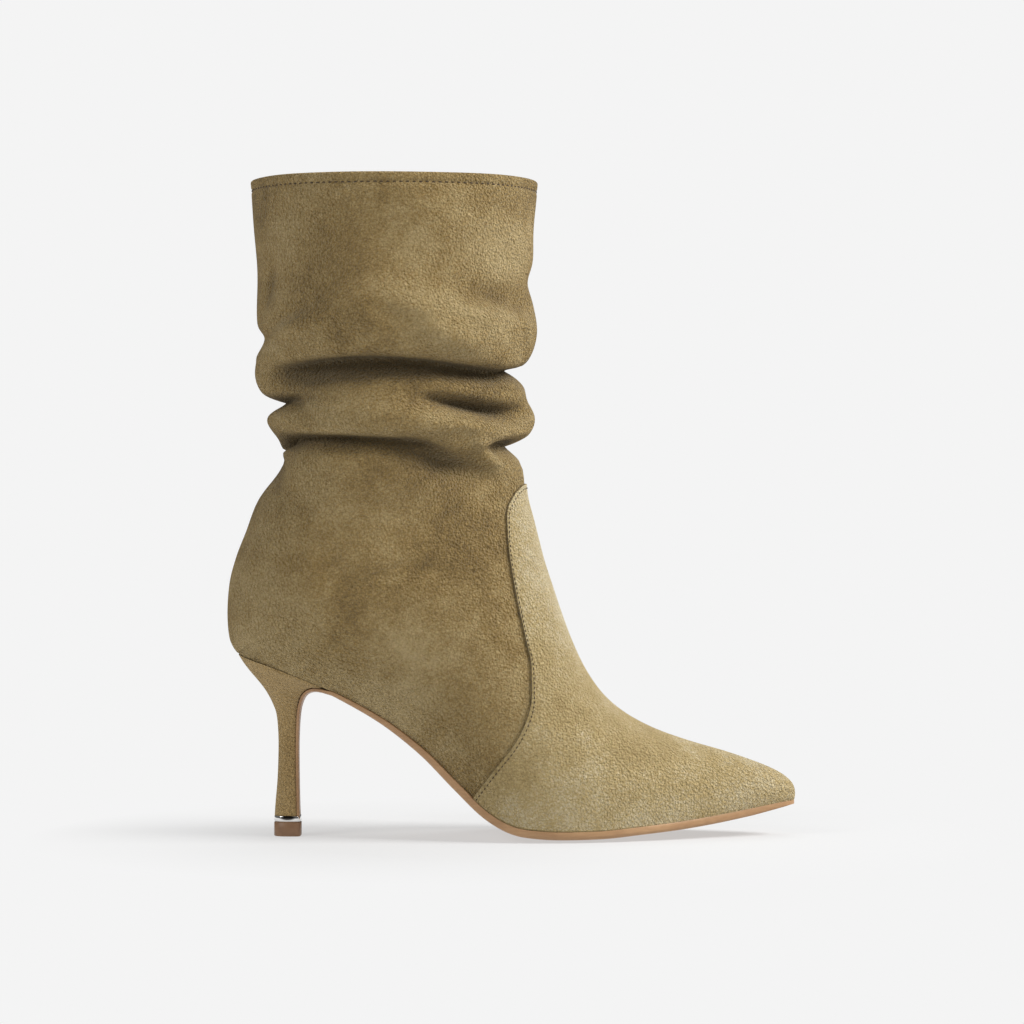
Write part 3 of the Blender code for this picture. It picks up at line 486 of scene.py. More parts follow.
# Painted shade, and painted light where the share is below 0: darker colour inside pockets, dents and under
# the folds, where shade falls, and paler colour on ridges and on places the light falls on
PAINTED_PATCHES = (
    # turn, up as a share of BOOT_HEIGHT, half turn, half up, share
    (0.160, 0.708, 0.100, 0.020, 0.65),
    (0.330, 0.714, 0.080, 0.012, 0.45),
    (0.380, 0.656, 0.070, 0.010, 0.30),
    (0.250, 0.560, 0.170, 0.035, 0.35),
    (0.060, 0.860, 0.080, 0.120, 0.22),
    (0.385, 0.818, 0.055, 0.022, 0.38),
    (0.085, 0.815, 0.035, 0.040, 0.30),
    (0.300, 0.757, 0.045, 0.012, -0.25),
    (0.420, 0.890, 0.055, 0.055, -0.98),
    (0.250, 0.880, 0.050, 0.040, -0.18),
    (0.440, 0.745, 0.060, 0.020, -0.20),
    (0.300, 0.440, 0.200, 0.080, 0.28),
    (0.200, 0.170, 0.300, 0.110, -0.92),
    (0.050, 0.330, 0.100, 0.100, -0.35),
)


def painted_shade_and_light(turn, up):
    """Painted shade as a share, deepest in the creases, with painted light on the bulges and the placed
    patches of painted shade and light.
    """
    # Painted shade as deep as the creases push the leather in, and painted light where the bulges stand out
    tone = np.clip(-gather(turn, up)[0] / FOLD_DEPTH, -0.3, 1.0)
    for middle, level, half_turn, half_up, share in PAINTED_PATCHES:
        around = ((turn - middle + 0.5) % 1.0 - 0.5) / half_turn
        above = (up / BOOT_HEIGHT - level) / half_up
        tone = tone + share * np.exp(-(around**2) - above**2)
    return tone


def new_mesh(name, points, faces, material, painted_tones=None, ridge_angle=50):
    """A smooth-shaded object from points and faces, riding on the boot. painted_tones: painted shade above 0
    and painted light below 0 at each point.
    """
    mesh = bpy.data.meshes.new(name)
    mesh.from_pydata([tuple(p) for p in np.asarray(points, float).reshape(-1, 3)], [], faces)
    if painted_tones is not None:
        # Painted shade and light at each point, which the suede's colour reads
        layer = mesh.attributes.new("painted_light_and_shade", "FLOAT", "POINT")
        layer.data.foreach_set("value", np.asarray(painted_tones, np.float32).ravel())
    shape = bmesh.new()
    shape.from_mesh(mesh)
    bmesh.ops.remove_doubles(shape, verts=shape.verts, dist=1e-7)
    bmesh.ops.recalc_face_normals(shape, faces=shape.faces)
    shape.to_mesh(mesh)
    shape.free()
    mesh.shade_smooth()
    mesh.set_sharp_from_angle(angle=math.radians(ridge_angle))
    mesh.materials.append(material)
    obj = bpy.data.objects.new(name, mesh)
    bpy.context.scene.collection.objects.link(obj)
    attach(obj, "root")
    return obj


def grid_faces(rings, around, closed=True):
    """Four-sided faces between neighbouring rings of points."""
    last = around if closed else around - 1
    return [
        (k * around + j, k * around + (j + 1) % around, (k + 1) * around + (j + 1) % around,
         (k + 1) * around + j)
        for k in range(rings - 1)
        for j in range(last)
    ]


class Signal:
    """A shader socket that adds Math nodes when it is used in a sum."""

    def __init__(self, tree, socket):
        self.tree, self.socket = tree, socket

    def math(self, operation, *terms):
        node = self.tree.nodes.new("ShaderNodeMath")
        node.operation = operation
        for i, term in enumerate(terms):
            if isinstance(term, Signal):
                self.tree.links.new(term.socket, node.inputs[i])
            else:
                node.inputs[i].default_value = term
        return Signal(self.tree, node.outputs[0])

    def __add__(self, other):
        return self.math("ADD", self, other)

    def __sub__(self, other):
        return self.math("SUBTRACT", self, other)

    def __rsub__(self, other):
        return self.math("SUBTRACT", other, self)

    def __mul__(self, other):
        return self.math("MULTIPLY", self, other)

    __radd__, __rmul__ = __add__, __mul__


class Nodes:
    """Makes nodes in one tree."""

    def __init__(self, tree):
        self.tree = tree

    def node(self, kind, settings=(), out=0, **sockets):
        """A node's output. Settings are set first, then sockets: i0 by number, or by name, _ for a space."""
        node = self.tree.nodes.new("ShaderNode" + kind)
        for key, value in dict(settings).items():
            setattr(node, key, value)
        for name, value in sockets.items():
            numbered = name[0] == "i" and name[1:].isdigit()
            self.link(value, node.inputs[int(name[1:]) if numbered else name.replace("_", " ")])
        return Signal(self.tree, node.outputs[out])

    def link(self, value, socket):
        if isinstance(value, Signal):
            self.tree.links.new(value.socket, socket)
        else:
            socket.default_value = value

    def noise(self, place, scale, detail=2.0, roughness=0.5, distortion=0.0):
        return self.node("TexNoise", Vector=place, Scale=scale, Detail=detail, Roughness=roughness,
                         Distortion=distortion)

    def ramp(self, factor, low, high, start=0.0, end=1.0):
        """A number that goes from start to end as factor goes from low to high."""
        return self.node("MapRange", {"clamp": True}, Value=factor, i1=low, i2=high, i3=start, i4=end)

    def blend(self, factor, one, other):
        """A colour between two."""
        return self.node("Mix", {"data_type": "RGBA"}, out=2, i0=factor, i6=one, i7=other)

    def bump(self, height, distance, strength=1.0):
        return self.node("Bump", Height=height, Distance=distance, Strength=strength)


class Shader(Nodes):
    """A material whose surface is one Principled BSDF."""

    def __init__(self, name, **constants):
        self.material = bpy.data.materials.new(name)
        self.material.use_nodes = True
        super().__init__(self.material.node_tree)
        self.surface = self.tree.nodes["Principled BSDF"]
        self.set(**constants)

    def set(self, **sockets):
        for name, value in sockets.items():
            self.link(value, self.surface.inputs[name.replace("_", " ")])

    def place(self):
        """The object's own coordinates."""
        return self.node("TexCoord", out=3)


# How many of each go to a metre
CLOUDS = 20.0
BRUSHED = 110.0
PEBBLES = 980.0
PORES = 900.0
FIBRES = 2400.0
DRIFT = 40.0
# How far the drift moves the patches, in metres, and the tone between dark and pale nap
DRIFT_REACH = 0.02
MEAN_TONE = 0.47


def suede(name, pale, middle, dark, relief_depth, patchiness, speckle):
    """Napped suede: soft patches where the nap lies another way, pebbled pores, a bloom at its edges, and
    painted shade and light from each point's painted tone.
    """
    shader = Shader(name, Roughness=0.95, Sheen_Weight=0.26, Sheen_Roughness=0.45,
                    Sheen_Tint=(1.0, 0.89, 0.66, 1.0), Specular_IOR_Level=0.2)
    place = shader.place()
    drift = shader.node("TexNoise", out=1, Vector=place, Scale=DRIFT)
    warped = shader.node("VectorMath", {"operation": "MULTIPLY_ADD"}, i0=drift,
                         i1=(DRIFT_REACH, DRIFT_REACH, DRIFT_REACH), i2=place)
    clouds = shader.noise(warped, CLOUDS, 2.0, 0.50)
    brushed = shader.noise(warped, BRUSHED, 2.0, 0.55)
    pebbles = shader.noise(place, PEBBLES, 3.0, 0.65, 0.6)
    pores = shader.node("TexVoronoi", Vector=place, Scale=PORES)
    fibre = shader.noise(place, FIBRES, 1.0, 0.5)
    patches = shader.ramp(clouds * 0.70 + brushed * 0.30, 0.37, 0.64)
    grain = shader.ramp(pebbles * 0.65 + fibre * 0.35, 0.38, 0.63)
    # Painted shade where above 0 and painted light where below 0, read from the mesh's points
    painted_tone = shader.node("Attribute", {"attribute_name": "painted_light_and_shade"}, out=2)
    pits = shader.ramp(pores, 0.42, 0.72)
    even = MEAN_TONE - (patchiness + speckle) / 2
    tone = patches * patchiness + grain * speckle + even - painted_tone * 0.36 - pits * 0.10
    colour = shader.blend(shader.ramp(tone, 0.02, 0.42), dark, middle)
    colour = shader.blend(shader.ramp(tone, 0.42, 0.90), colour, pale)
    # Painted shade: the deepest creases and shaded edges turn towards a near-black brown
    colour = shader.blend(shader.ramp(painted_tone, 0.35, 0.95, 0.0, 0.62), colour, PAINTED_CREASE_SHADE)
    relief = pebbles * 0.75 + pores * 0.55 + fibre * 0.20
    shader.set(Base_Color=colour, Normal=shader.bump(relief, relief_depth, 1.0))
    return shader.material


OLIVE_PALE = (0.660, 0.498, 0.240, 1.0)
OLIVE = (0.396, 0.258, 0.084, 1.0)
OLIVE_DARK = (0.182, 0.112, 0.032, 1.0)
# The colour of painted shade in the deepest creases
PAINTED_CREASE_SHADE = (0.105, 0.070, 0.026, 1.0)

upper_suede = suede("upper_suede", OLIVE_PALE, OLIVE, OLIVE_DARK, relief_depth=0.0050,
                    patchiness=0.48, speckle=0.46)

COLLAR_ROLL = 0.0009
ROLL_STEPS = 7


def build_upper():
    foot = foot_grid(SIDE_COLUMNS, FOOT_LEVELS)
    leg = leg_grid(SIDE_COLUMNS, LEVELS_BETWEEN_CREASES)
    rows, turns = (np.concatenate(pair) for pair in zip(foot, leg))
    rings = upper_points(rows, turns)
    low_rings = [upper_points(rows[0], turns[0], -WALL * share) for share in (1.0, 0.5)]
    top = rings[-1]
    inside = upper_points(rows[-1], turns[-1], -WALL)
    roll = []
    for angle in np.linspace(0, math.pi, ROLL_STEPS)[1:]:
        share = (1 - math.cos(angle)) / 2
        roll.append(top + (inside - top) * share + np.array((0, 0, COLLAR_ROLL * math.sin(angle))))
    painted_tones = painted_shade_and_light(turns, section_points(rows, turns)[2])
    # Painted shade along the feather edge, in the crevice where the upper meets the sole
    painted_tones[0] = 1.0
    painted_tones = np.concatenate([painted_tones[:1], painted_tones[:1], painted_tones, np.repeat(painted_tones[-1:], len(roll), axis=0)])
    rings = np.concatenate([low_rings, rings, roll])
    return new_mesh("suede_upper", rings, grid_faces(len(rings), rings.shape[1]), upper_suede, painted_tones)


upper = build_upper()
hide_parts("upper")

# Vamp
# The front of the foot, a second layer of suede lapped over the quarters. Its edge is folded under and
# held by one row of stitches just inside it.

VAMP_LEATHER = 0.0008
VAMP_GAP = 0.0003
VAMP_LIFT = VAMP_GAP + VAMP_LEATHER
VAMP_ROWS = 110
VAMP_COLUMNS = 120
NOSE_START = 0.02
EDGE_ROLL = 0.0003
# A painted highlight, paler colour along the instep's ridge where the light falls on its top: strength,
# reach in turns, and the rows it takes to come up
INSTEP_PAINTED_HIGHLIGHT = 0.54
PAINTED_HIGHLIGHT_REACH = 0.11
PAINTED_HIGHLIGHT_ROWS = 14

# Shares: along of FOOT_LENGTH, up of THROAT_HEIGHT
VAMP_EDGE = (
    # along, up
    (0.5400, 1.0040),
    (0.5170, 0.9920),
    (0.5000, 0.9580),
    (0.4900, 0.9080),
    (0.4930, 0.8230),
    (0.5060, 0.6900),
    (0.5210, 0.5800),
    (0.5330, 0.4850),
    (0.5340, 0.4050),
    (0.5240, 0.3330),
    (0.5020, 0.2660),
    (0.4680, 0.1960),
    (0.4340, 0.1200),
    (0.4150, 0.0700),
)


def vamp_edge_rows(shares):
    """The section row where the vamp's edge crosses each share of a half slice."""
    edge = curve(np.array(VAMP_EDGE), np.linspace(0, len(VAMP_EDGE) - 1, 200))
    edge_x, edge_z = edge[:, 0] * FOOT_LENGTH, edge[:, 1] * THROAT_HEIGHT
    rows = np.linspace(4, HEEL_BACK_ROW + 2, 700)
    found = []
    for share in shares:
        x, _, z, *_ = section_points(rows, share / 2)
        ahead = x - np.interp(z, edge_z[::-1], edge_x[::-1])
        inside = (ahead > 0) & (z < edge_z[0])
        outside = np.where(~inside)[0]
        outside = outside[outside > 0]
        last = outside[0] if len(outside) else len(rows) - 1
        a, b = ahead[last - 1], ahead[last]
        part = a / (a - b) if a > 0 > b else 0.0
        found.append(rows[last - 1] + (rows[last] - rows[last - 1]) * part)
    return np.array(found)


# A paler copy of the upper's suede: partly a paler panel, partly painted light where the light falls on the
# upturned front of the foot
vamp_suede = suede("vamp_suede", (0.820, 0.725, 0.505, 1.0), (0.545, 0.405, 0.180, 1.0),
                   (0.330, 0.225, 0.084, 1.0), relief_depth=0.0032, patchiness=0.34, speckle=0.34)


def build_vamp():
    shares = np.linspace(0, 1, VAMP_COLUMNS)
    edge = vamp_edge_rows(shares)
    shares = np.concatenate([shares, shares[-2::-1]])
    edge = np.concatenate([edge, edge[-2::-1]])
    side = len(edge) // 2
    turns = np.where(np.arange(len(edge)) <= side, shares / 2, 1 - shares / 2)
    steps = np.linspace(NOSE_START, 1, VAMP_ROWS)
    rows = edge[None, :] * steps[:, None]
    rings = upper_points(rows, turns, VAMP_LIFT)
    nose = upper_points(np.zeros(len(turns)), turns) + (VAMP_LEATHER, 0.0, 0.0)
    outer, before = rings[-1], rings[-2]
    forward = outer - before
    forward /= np.linalg.norm(forward, axis=1, keepdims=True)
    ground = upper_points(rows[-1], turns)
    rolled = []
    for angle in np.linspace(0, math.pi / 2, 5)[1:]:
        drop = (ground - outer) * (1 - math.cos(angle))
        rolled.append(outer + forward * EDGE_ROLL * math.sin(angle) + drop)
    # Painted highlight along the instep's ridge
    painted_tones = -INSTEP_PAINTED_HIGHLIGHT * np.exp(-(((turns - 0.5) / PAINTED_HIGHLIGHT_REACH) ** 2)) * smooth(rows / PAINTED_HIGHLIGHT_ROWS)
    # Painted shade on the rolled edge, the shadow of its step, and along the feather edge where the vamp
    # meets the sole
    painted_tones = np.concatenate([painted_tones, np.ones((len(rolled), len(edge)))])
    painted_tones[:, 0] = painted_tones[:, -1] = 1.0
    painted_tones = np.concatenate([painted_tones[:1], painted_tones])
    rings = np.concatenate([[nose], rings, rolled])
    obj = new_mesh("suede_vamp", rings, grid_faces(len(rings), rings.shape[1], closed=False), vamp_suede,
                   painted_tones)
    return obj, edge, turns


vamp, vamp_rows, vamp_turns = build_vamp()
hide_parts("vamp")

# Stitches
# One thread sews the vamp's edge and one the folded collar. Each stitch is a short bead of thread lying
# in the direction of its row.

VAMP_STITCH_RADIUS = 0.00027
COLLAR_STITCH_RADIUS = 0.00034
VAMP_PITCH = 0.0021
COLLAR_PITCH = 0.0028
VAMP_STITCH = 0.0014
COLLAR_STITCH = 0.0018

thread = Shader("thread", Base_Color=(0.070, 0.045, 0.018, 1.0), Roughness=0.8, Sheen_Weight=0.1)


def stitches(name, line, normals, pitch, length, radius):
    """Beads of thread along a line of points, each lying on the leather."""
    run = np.concatenate([[0], np.cumsum(np.linalg.norm(np.diff(line, axis=0), axis=1))])
    count = int(run[-1] / pitch)
    around, rings = 6, 5
    points, faces = [], []
    for i in range(count):
        middle = (i + 0.5) * pitch
        ends = [np.array([np.interp(middle + s * length / 2, run, line[:, k]) for k in range(3)])
                for s in (-1, 1)]
        normal = np.array([np.interp(middle, run, normals[:, k]) for k in range(3)])
        normal /= np.linalg.norm(normal)
        along = (ends[1] - ends[0]) / np.linalg.norm(ends[1] - ends[0])
        across = np.cross(along, normal)
        base = len(points)
        for r in range(rings):
            share = r / (rings - 1)
            girth = radius * (0.35 + 0.65 * math.sin(math.pi * share))
            centre = ends[0] + (ends[1] - ends[0]) * share
            centre = centre + normal * radius * (0.75 * math.sin(math.pi * share) - 0.35)
            for a in range(around):
                angle = 2 * math.pi * a / around
                points.append(centre + girth * (across * math.cos(angle) + normal * math.sin(angle)))
        faces += [tuple(base + f for f in face) for face in grid_faces(rings, around)]
        faces.append(tuple(base + a for a in range(around)))
        faces.append(tuple(base + (rings - 1) * around + a for a in range(around)))
    return new_mesh(name, points, faces, thread.material)


SEAM_INSET = 0.0015
MILLIMETRE = 0.001
COLLAR_SAMPLES = 400


def vamp_stitch_line():
    """The stitch row's line and normals: the vamp's edge moved forward by SEAM_INSET."""
    half_row = 0.5
    edge = upper_points(vamp_rows, vamp_turns, VAMP_LIFT)
    ahead = upper_points(vamp_rows - half_row, vamp_turns, VAMP_LIFT)
    rows = vamp_rows - SEAM_INSET / np.linalg.norm(edge - ahead, axis=1) * half_row
    line = upper_points(rows, vamp_turns, VAMP_LIFT)
    return line, (line - upper_points(rows, vamp_turns, VAMP_LIFT - MILLIMETRE)) / MILLIMETRE


line, normals = vamp_stitch_line()
vamp_thread = stitches("vamp_stitches", line, normals, VAMP_PITCH, VAMP_STITCH, VAMP_STITCH_RADIUS)


def collar_stitch_line():
    """The stitch row's line and normals: the collar's edge moved down by COLLAR_INSET."""
    turns = np.linspace(0, 1, COLLAR_SAMPLES)
    heights = section_points(COLLAR_ROW, turns)[2] - COLLAR_INSET
    rows = np.linspace(COLLAR_ROW - 2, COLLAR_ROW, 60)
    at = np.array([np.interp(h, section_points(rows, t)[2], rows) for h, t in zip(heights, turns)])
    line = upper_points(at, turns)
    return line, (upper_points(at, turns, MILLIMETRE) - line) / MILLIMETRE


line, normals = collar_stitch_line()
collar_thread = stitches("collar_stitches", line, normals, COLLAR_PITCH, COLLAR_STITCH,
                         COLLAR_STITCH_RADIUS)

# Lining
# A smooth tan leather bag inside the suede, glued to it in the foot and turned in under the folded
# collar. In the gathers it hangs straight, clear of the deepest creases.

LINING_COLUMNS = 60
LINING_FOOT_LEVELS = 30
LINING_LEG_LEVELS = (10, 12, 12, 24, 6)
LINING_REACH = 0.010
LINING_EASE = 0.0008
LINING_GLUE = 0.0002
TURNED_IN = 0.0003
lining_leather = Shader("lining_leather", Base_Color=(0.42, 0.30, 0.17, 1.0), Roughness=0.62)
grain = lining_leather.node("TexVoronoi", Vector=lining_leather.place(), Scale=900.0)
lining_leather.set(Normal=lining_leather.bump(grain, 0.0003, 0.25))


def lining_points(at, turn):
    """Points of the lining in the leg, inside the deepest crease within LINING_REACH."""
    x, y, z, middle, half_length, half = section_points(at, turn)
    near = [-gather(turn, z + shift)[0] for shift in np.linspace(-LINING_REACH, LINING_REACH, 9)]
    inward = WALL + LINING_EASE + np.maximum(np.max(near, axis=0), 0.0)
    inward = np.where(z > BOOT_HEIGHT - HEM_DEPTH, WALL - TURNED_IN, inward)
    normal_x, normal_y = (x - middle) / half_length**2, y / half**2
    long = np.maximum(np.hypot(normal_x, normal_y), 1e-9)
    x, y = x - inward * normal_x / long, y - inward * normal_y / long
    return np.stack([x + FOOT_BACK, y + swing(x) + FOOT_MIDDLE, z], axis=-1)


def build_lining():
    leg_rows, leg_turns = leg_grid(LINING_COLUMNS, LINING_LEG_LEVELS)
    leg = lining_points(leg_rows, leg_turns)
    foot_rows, foot_turns = foot_grid(LINING_COLUMNS, LINING_FOOT_LEVELS)
    foot = upper_points(foot_rows, foot_turns, -WALL - LINING_GLUE)
    rings = np.concatenate([foot, leg])
    return new_mesh("lining", rings, grid_faces(len(rings), rings.shape[1]), lining_leather.material)


lining = build_lining()

# Outsole
# One piece of tan leather from the toe through the waist and on down the breast of the heel. Its edge is
# trimmed square and burnished; its underside is crowned and buffed.

SEAM_GAP = 0.0003
GLUED_IN = 0.0002
SOLE_MARGIN = 0.0012
TOE_MARGIN_SHARE = 0.80
TOE_MARGIN_ROWS = 4
NARROWEST = 0.0004
SOLE_CROWN = 0.0014
BREAST_LEATHER = 0.0012
BREAST_SHARE_TOP = 0.97
BREAST_SHARE_STEM = 0.88
BREAST_START = 0.6
STEM_STATION = 6
SOLE_EDGE = 0.0039
SOLE_EDGE_TAPER = (
    # along, thick
    (0.16, 0.32),
    (0.20, 0.44),
    (0.28, 0.62),
    (0.36, 0.78),
    (0.52, 0.98),
    (0.80, 1.00),
    (0.92, 0.90),
    (1.00, 0.62),
)
TOP_PIECE_HEIGHT = 0.0063
BAND_HEIGHT = 0.0022

# Shares: along of FOOT_LENGTH, up of HEEL_HEIGHT, half of half BALL_WIDTH
HEEL_RINGS = (
    # breast_along, breast_up, back_along, back_up, half
    (0.1760, 0.8135, 0.0200, 0.9970, 0.656),
    (0.1680, 0.8170, 0.0288, 0.9538, 0.605),
    (0.1580, 0.8190, 0.0400, 0.9075, 0.538),
    (0.1440, 0.8075, 0.0516, 0.8650, 0.459),
    (0.1344, 0.7800, 0.0624, 0.8225, 0.374),
    (0.1284, 0.7400, 0.0712, 0.7800, 0.303),
    (0.1244, 0.6850, 0.0800, 0.7250, 0.231),
    (0.1224, 0.6000, 0.0868, 0.6550, 0.169),
    (0.1216, 0.4750, 0.0896, 0.5063, 0.128),
    (0.1220, 0.3250, 0.0880, 0.3250, 0.123),
    (0.1228, 0.1875, 0.0844, 0.1875, 0.133),
    (0.1236, 0.1138, 0.0828, 0.1138, 0.141),
)
HEEL_SIZES = np.array(HEEL_RINGS) * (FOOT_LENGTH, HEEL_HEIGHT, FOOT_LENGTH, HEEL_HEIGHT, BALL_WIDTH / 2)
STEM_FOOT = TOP_PIECE_HEIGHT + BAND_HEIGHT + 2 * SEAM_GAP


def bottom_up(along):
    """Height of the feather edge over the floor."""
    return np.interp(along, FEATHER[::-1, 2], FEATHER[::-1, 3])


def outline_row(at, margin, inner):
    """(along, up, across) on the feather edge's outline, moved out by a margin in the floor's plane."""
    def edge(where):
        row = curve(SECTIONS, where)
        half = max(row[6], 0.0)
        return np.array((row[2], half - float(arch_inset(row[2], inner)) * min(1, half / 0.01)))

    step = 0.02
    run = edge(min(at + step, HEEL_BACK_ROW)) - edge(max(at - step, 0.0))
    normal = np.array((run[1], -run[0]))
    if at <= step:
        normal = np.array((1.0, 0.0))
    x, across = edge(at) + normal / max(np.linalg.norm(normal), 1e-9) * margin
    return x, curve(SECTIONS, at)[3], max(across, NARROWEST)


def sole_path():
    """The sole's glued side from the toe to the foot of the breast: rows of (place, outer, inner, thick)."""
    along_at, thick_at = zip(*SOLE_EDGE_TAPER)
    breast_at = np.interp(HEEL_SIZES[0][0], FEATHER[::-1, 2], FEATHER_ROWS[::-1])
    rows = []
    for at in np.concatenate([np.linspace(0, 2, 14)[:-1], np.linspace(2, breast_at - 0.2, 110)]):
        share = TOE_MARGIN_SHARE + (1 - TOE_MARGIN_SHARE) * smooth(at / TOE_MARGIN_ROWS)
        margin = SOLE_MARGIN * share
        x, z, outer = outline_row(at, margin, False)
        inner = outline_row(at, margin, True)[2]
        thick = SOLE_EDGE * np.interp(x / FOOT_LENGTH, along_at, thick_at)
        rows.append(((x, z), outer, inner, thick))
    for at in np.linspace(BREAST_START, len(HEEL_RINGS) - 1, 90):
        breast_x, breast_z, _, _, half = curve(HEEL_SIZES, at)
        narrowing = (BREAST_SHARE_TOP - BREAST_SHARE_STEM) * smooth(at / STEM_STATION)
        reach = half * (BREAST_SHARE_TOP - narrowing)
        rows.append(((breast_x, breast_z), reach, reach, BREAST_LEATHER))
    return rows


# The trimmed edge from the glued side down. Shares: across of the half width, depth of the thickness
EDGE_PROFILE = ((0.99, 0.05), (1.0, 0.16), (1.0, 0.55), (0.995, 0.78), (0.98, 0.93))
GLUED_SHARE = 0.97
TREAD_SHARE = 0.955


def sole_ring(outer, inner, thick, crown):
    """(across, depth) round a slice of the sole: flat and glued above, a burnished edge, crowned below."""
    ring = [(share, 0.0) for share in np.linspace(-GLUED_SHARE, GLUED_SHARE, 13)]
    ring += [(share, depth * thick) for share, depth in EDGE_PROFILE]
    ring += [(share, thick + crown * (1 - share * share))
             for share in np.linspace(TREAD_SHARE, -TREAD_SHARE, 23)]
    ring += [(-share, depth * thick) for share, depth in reversed(EDGE_PROFILE)]
    return [(share * (inner if share > 0 else outer), depth) for share, depth in ring]


sole_leather = Shader("sole_leather", Roughness=0.5, Coat_Weight=0.12, Coat_Roughness=0.35)
place = sole_leather.place()
blotches = sole_leather.noise(place, 45.0, 4.0, 0.6)
pores = sole_leather.noise(place, 1400.0, 2.0, 0.6)
streaks = sole_leather.noise(sole_leather.node("Mapping", Vector=place, Scale=(1.0, 6.0, 12.0)), 90.0, 3.0)
tan = sole_leather.blend(sole_leather.ramp(blotches * 0.6 + streaks * 0.4, 0.3, 0.7),
                         (0.310, 0.165, 0.072, 1.0), (0.480, 0.285, 0.138, 1.0))
sole_leather.set(Base_Color=tan, Roughness=sole_leather.ramp(blotches, 0.3, 0.7, 0.42, 0.60),
                 Normal=sole_leather.bump(pores * 0.5 + streaks * 0.5, 0.0002, 0.35))


def build_sole():
    rows = sole_path()
    places = np.array([row[0] for row in rows])
    run = np.gradient(places, axis=0)
    run[0] = (-1.0, 0.0)
    for _ in range(6):
        run[1:-1] = (run[:-2] + 2 * run[1:-1] + run[2:]) / 4
    rings = []
    for (px, pz), (rx, rz), (_, outer, inner, thick) in zip(places, run, rows):
        normal = np.array((-rz, rx)) / math.hypot(rx, rz)
        crown = SOLE_CROWN * smooth((outer - 0.004) / 0.02)
        ring = []
        for across, depth in sole_ring(outer, inner, thick, crown):
            x = px + normal[0] * (depth - GLUED_IN)
            z = pz + normal[1] * (depth - GLUED_IN)
            ring.append((x + FOOT_BACK, across + swing(x) + FOOT_MIDDLE, max(z, 0.0)))
        rings.append(ring)
    rings = np.array(rings)
    rings[-1][:, 2] = STEM_FOOT
    n = rings.shape[1]
    faces = grid_faces(len(rings), n)
    faces += [tuple(range(n)), tuple((len(rings) - 1) * n + j for j in range(n))]
    return new_mesh("leather_sole", rings, faces, sole_leather.material, ridge_angle=35)


sole = build_sole()
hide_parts("outsole")

# Insole
# The board that the foot stands on, covered with a thin smooth leather that is glued over it. Its solid
# already has the board's shape, so it only gets that leather.

insole_leather = Shader("insole_leather", Roughness=0.6)
grain = insole_leather.noise(insole_leather.place(), 1100.0, 2.0)
insole_leather.set(
    Base_Color=insole_leather.blend(insole_leather.noise(insole_leather.place(), 30.0, 3.0),
                                    (0.40, 0.28, 0.15, 1.0), (0.50, 0.37, 0.22, 1.0)),
    Normal=insole_leather.bump(grain, 0.0002, 0.3),
)
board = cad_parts["insole"]
board.data.materials.clear()
board.data.materials.append(insole_leather.material)

# Covered heel
# A slim plastic stiletto wrapped in the upper's suede and screwed up into the heel seat. It is round
# behind and nearly flat in front, where the sole's breast is glued to it.

HEEL_WIDEST = 0.55
HEEL_BACK_BLUNT = 2.3
HEEL_BREAST_BLUNT = 6.0
SEAT_GAP = 0.0002
SEAT_STEP = 0.0001
HEEL_AROUND = 72
heel_suede = suede("heel_suede", (0.600, 0.440, 0.222, 1.0), (0.470, 0.318, 0.132, 1.0),
                   (0.320, 0.205, 0.076, 1.0), relief_depth=0.0024, patchiness=0.26, speckle=0.28)


def d_ring(back, breast, half, around):
    """Points round a heel slice, from its back: round behind and nearly flat in front."""
    j = np.arange(around)
    side = np.where(j <= around / 2, -1, 1)
    angle = math.pi * (1 - np.minimum(j, around - j) / (around / 2))
    behind = arc_point(angle, math.pi, HEEL_WIDEST, HEEL_BACK_BLUNT)
    before = arc_point(angle, math.pi, HEEL_WIDEST, HEEL_BREAST_BLUNT)
    along = np.where(angle > math.pi / 2, behind[0], before[0])
    across = np.where(angle > math.pi / 2, behind[1], before[1])
    x = back[0] + (breast[0] - back[0]) * along
    z = back[1] + (breast[1] - back[1]) * along
    return np.stack([x + FOOT_BACK, side * half * across + FOOT_MIDDLE, z], axis=-1)


def build_heel():
    rings = []
    for at in np.concatenate([np.linspace(0, STEM_STATION, 60)[:-1],
                              np.linspace(STEM_STATION, len(HEEL_RINGS) - 1, 40)]):
        breast_x, breast_z, back_x, back_z, half = curve(HEEL_SIZES, at)
        rings.append(d_ring((back_x, back_z), (breast_x, breast_z), half, HEEL_AROUND))
    rings = np.array(rings)
    seat = bottom_up(rings[..., 0] - FOOT_BACK) - SEAT_GAP
    rings[0][:, 2] = seat[0]
    rings[1:, :, 2] = np.minimum(rings[1:, :, 2], seat[1:] - SEAT_STEP)
    rings[-1][:, 2] = STEM_FOOT
    n = HEEL_AROUND
    faces = grid_faces(len(rings), n)
    for start in (0, (len(rings) - 1) * n):
        for j in range(n // 2):
            strip = [start + j, start + j + 1, start + (n - j - 1) % n, start + (n - j) % n]
            faces.append([c for k, c in enumerate(strip) if c not in strip[:k]])
    return new_mesh("covered_heel", rings, faces, heel_suede)


heel = build_heel()
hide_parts("heel")

# Heel band and top piece
# A thin collar of polished metal is pressed round the heel's tip. Under it a small block of hard brown
# rubber, which wears on the ground, is pinned into the tip.

TIP_LENGTH = 0.0119
TIP_WIDTH = 0.0116
TIP_BACK = 0.0205
TIP_AROUND = 64
FLOOR_BEVEL = 0.0003
TOP_BEVEL = 0.0004
# (rise, inset) of the band's rounded rims
BAND_ROUNDING = ((0.0, 0.0004), (0.0003, 0.0001), (0.0006, 0.0))
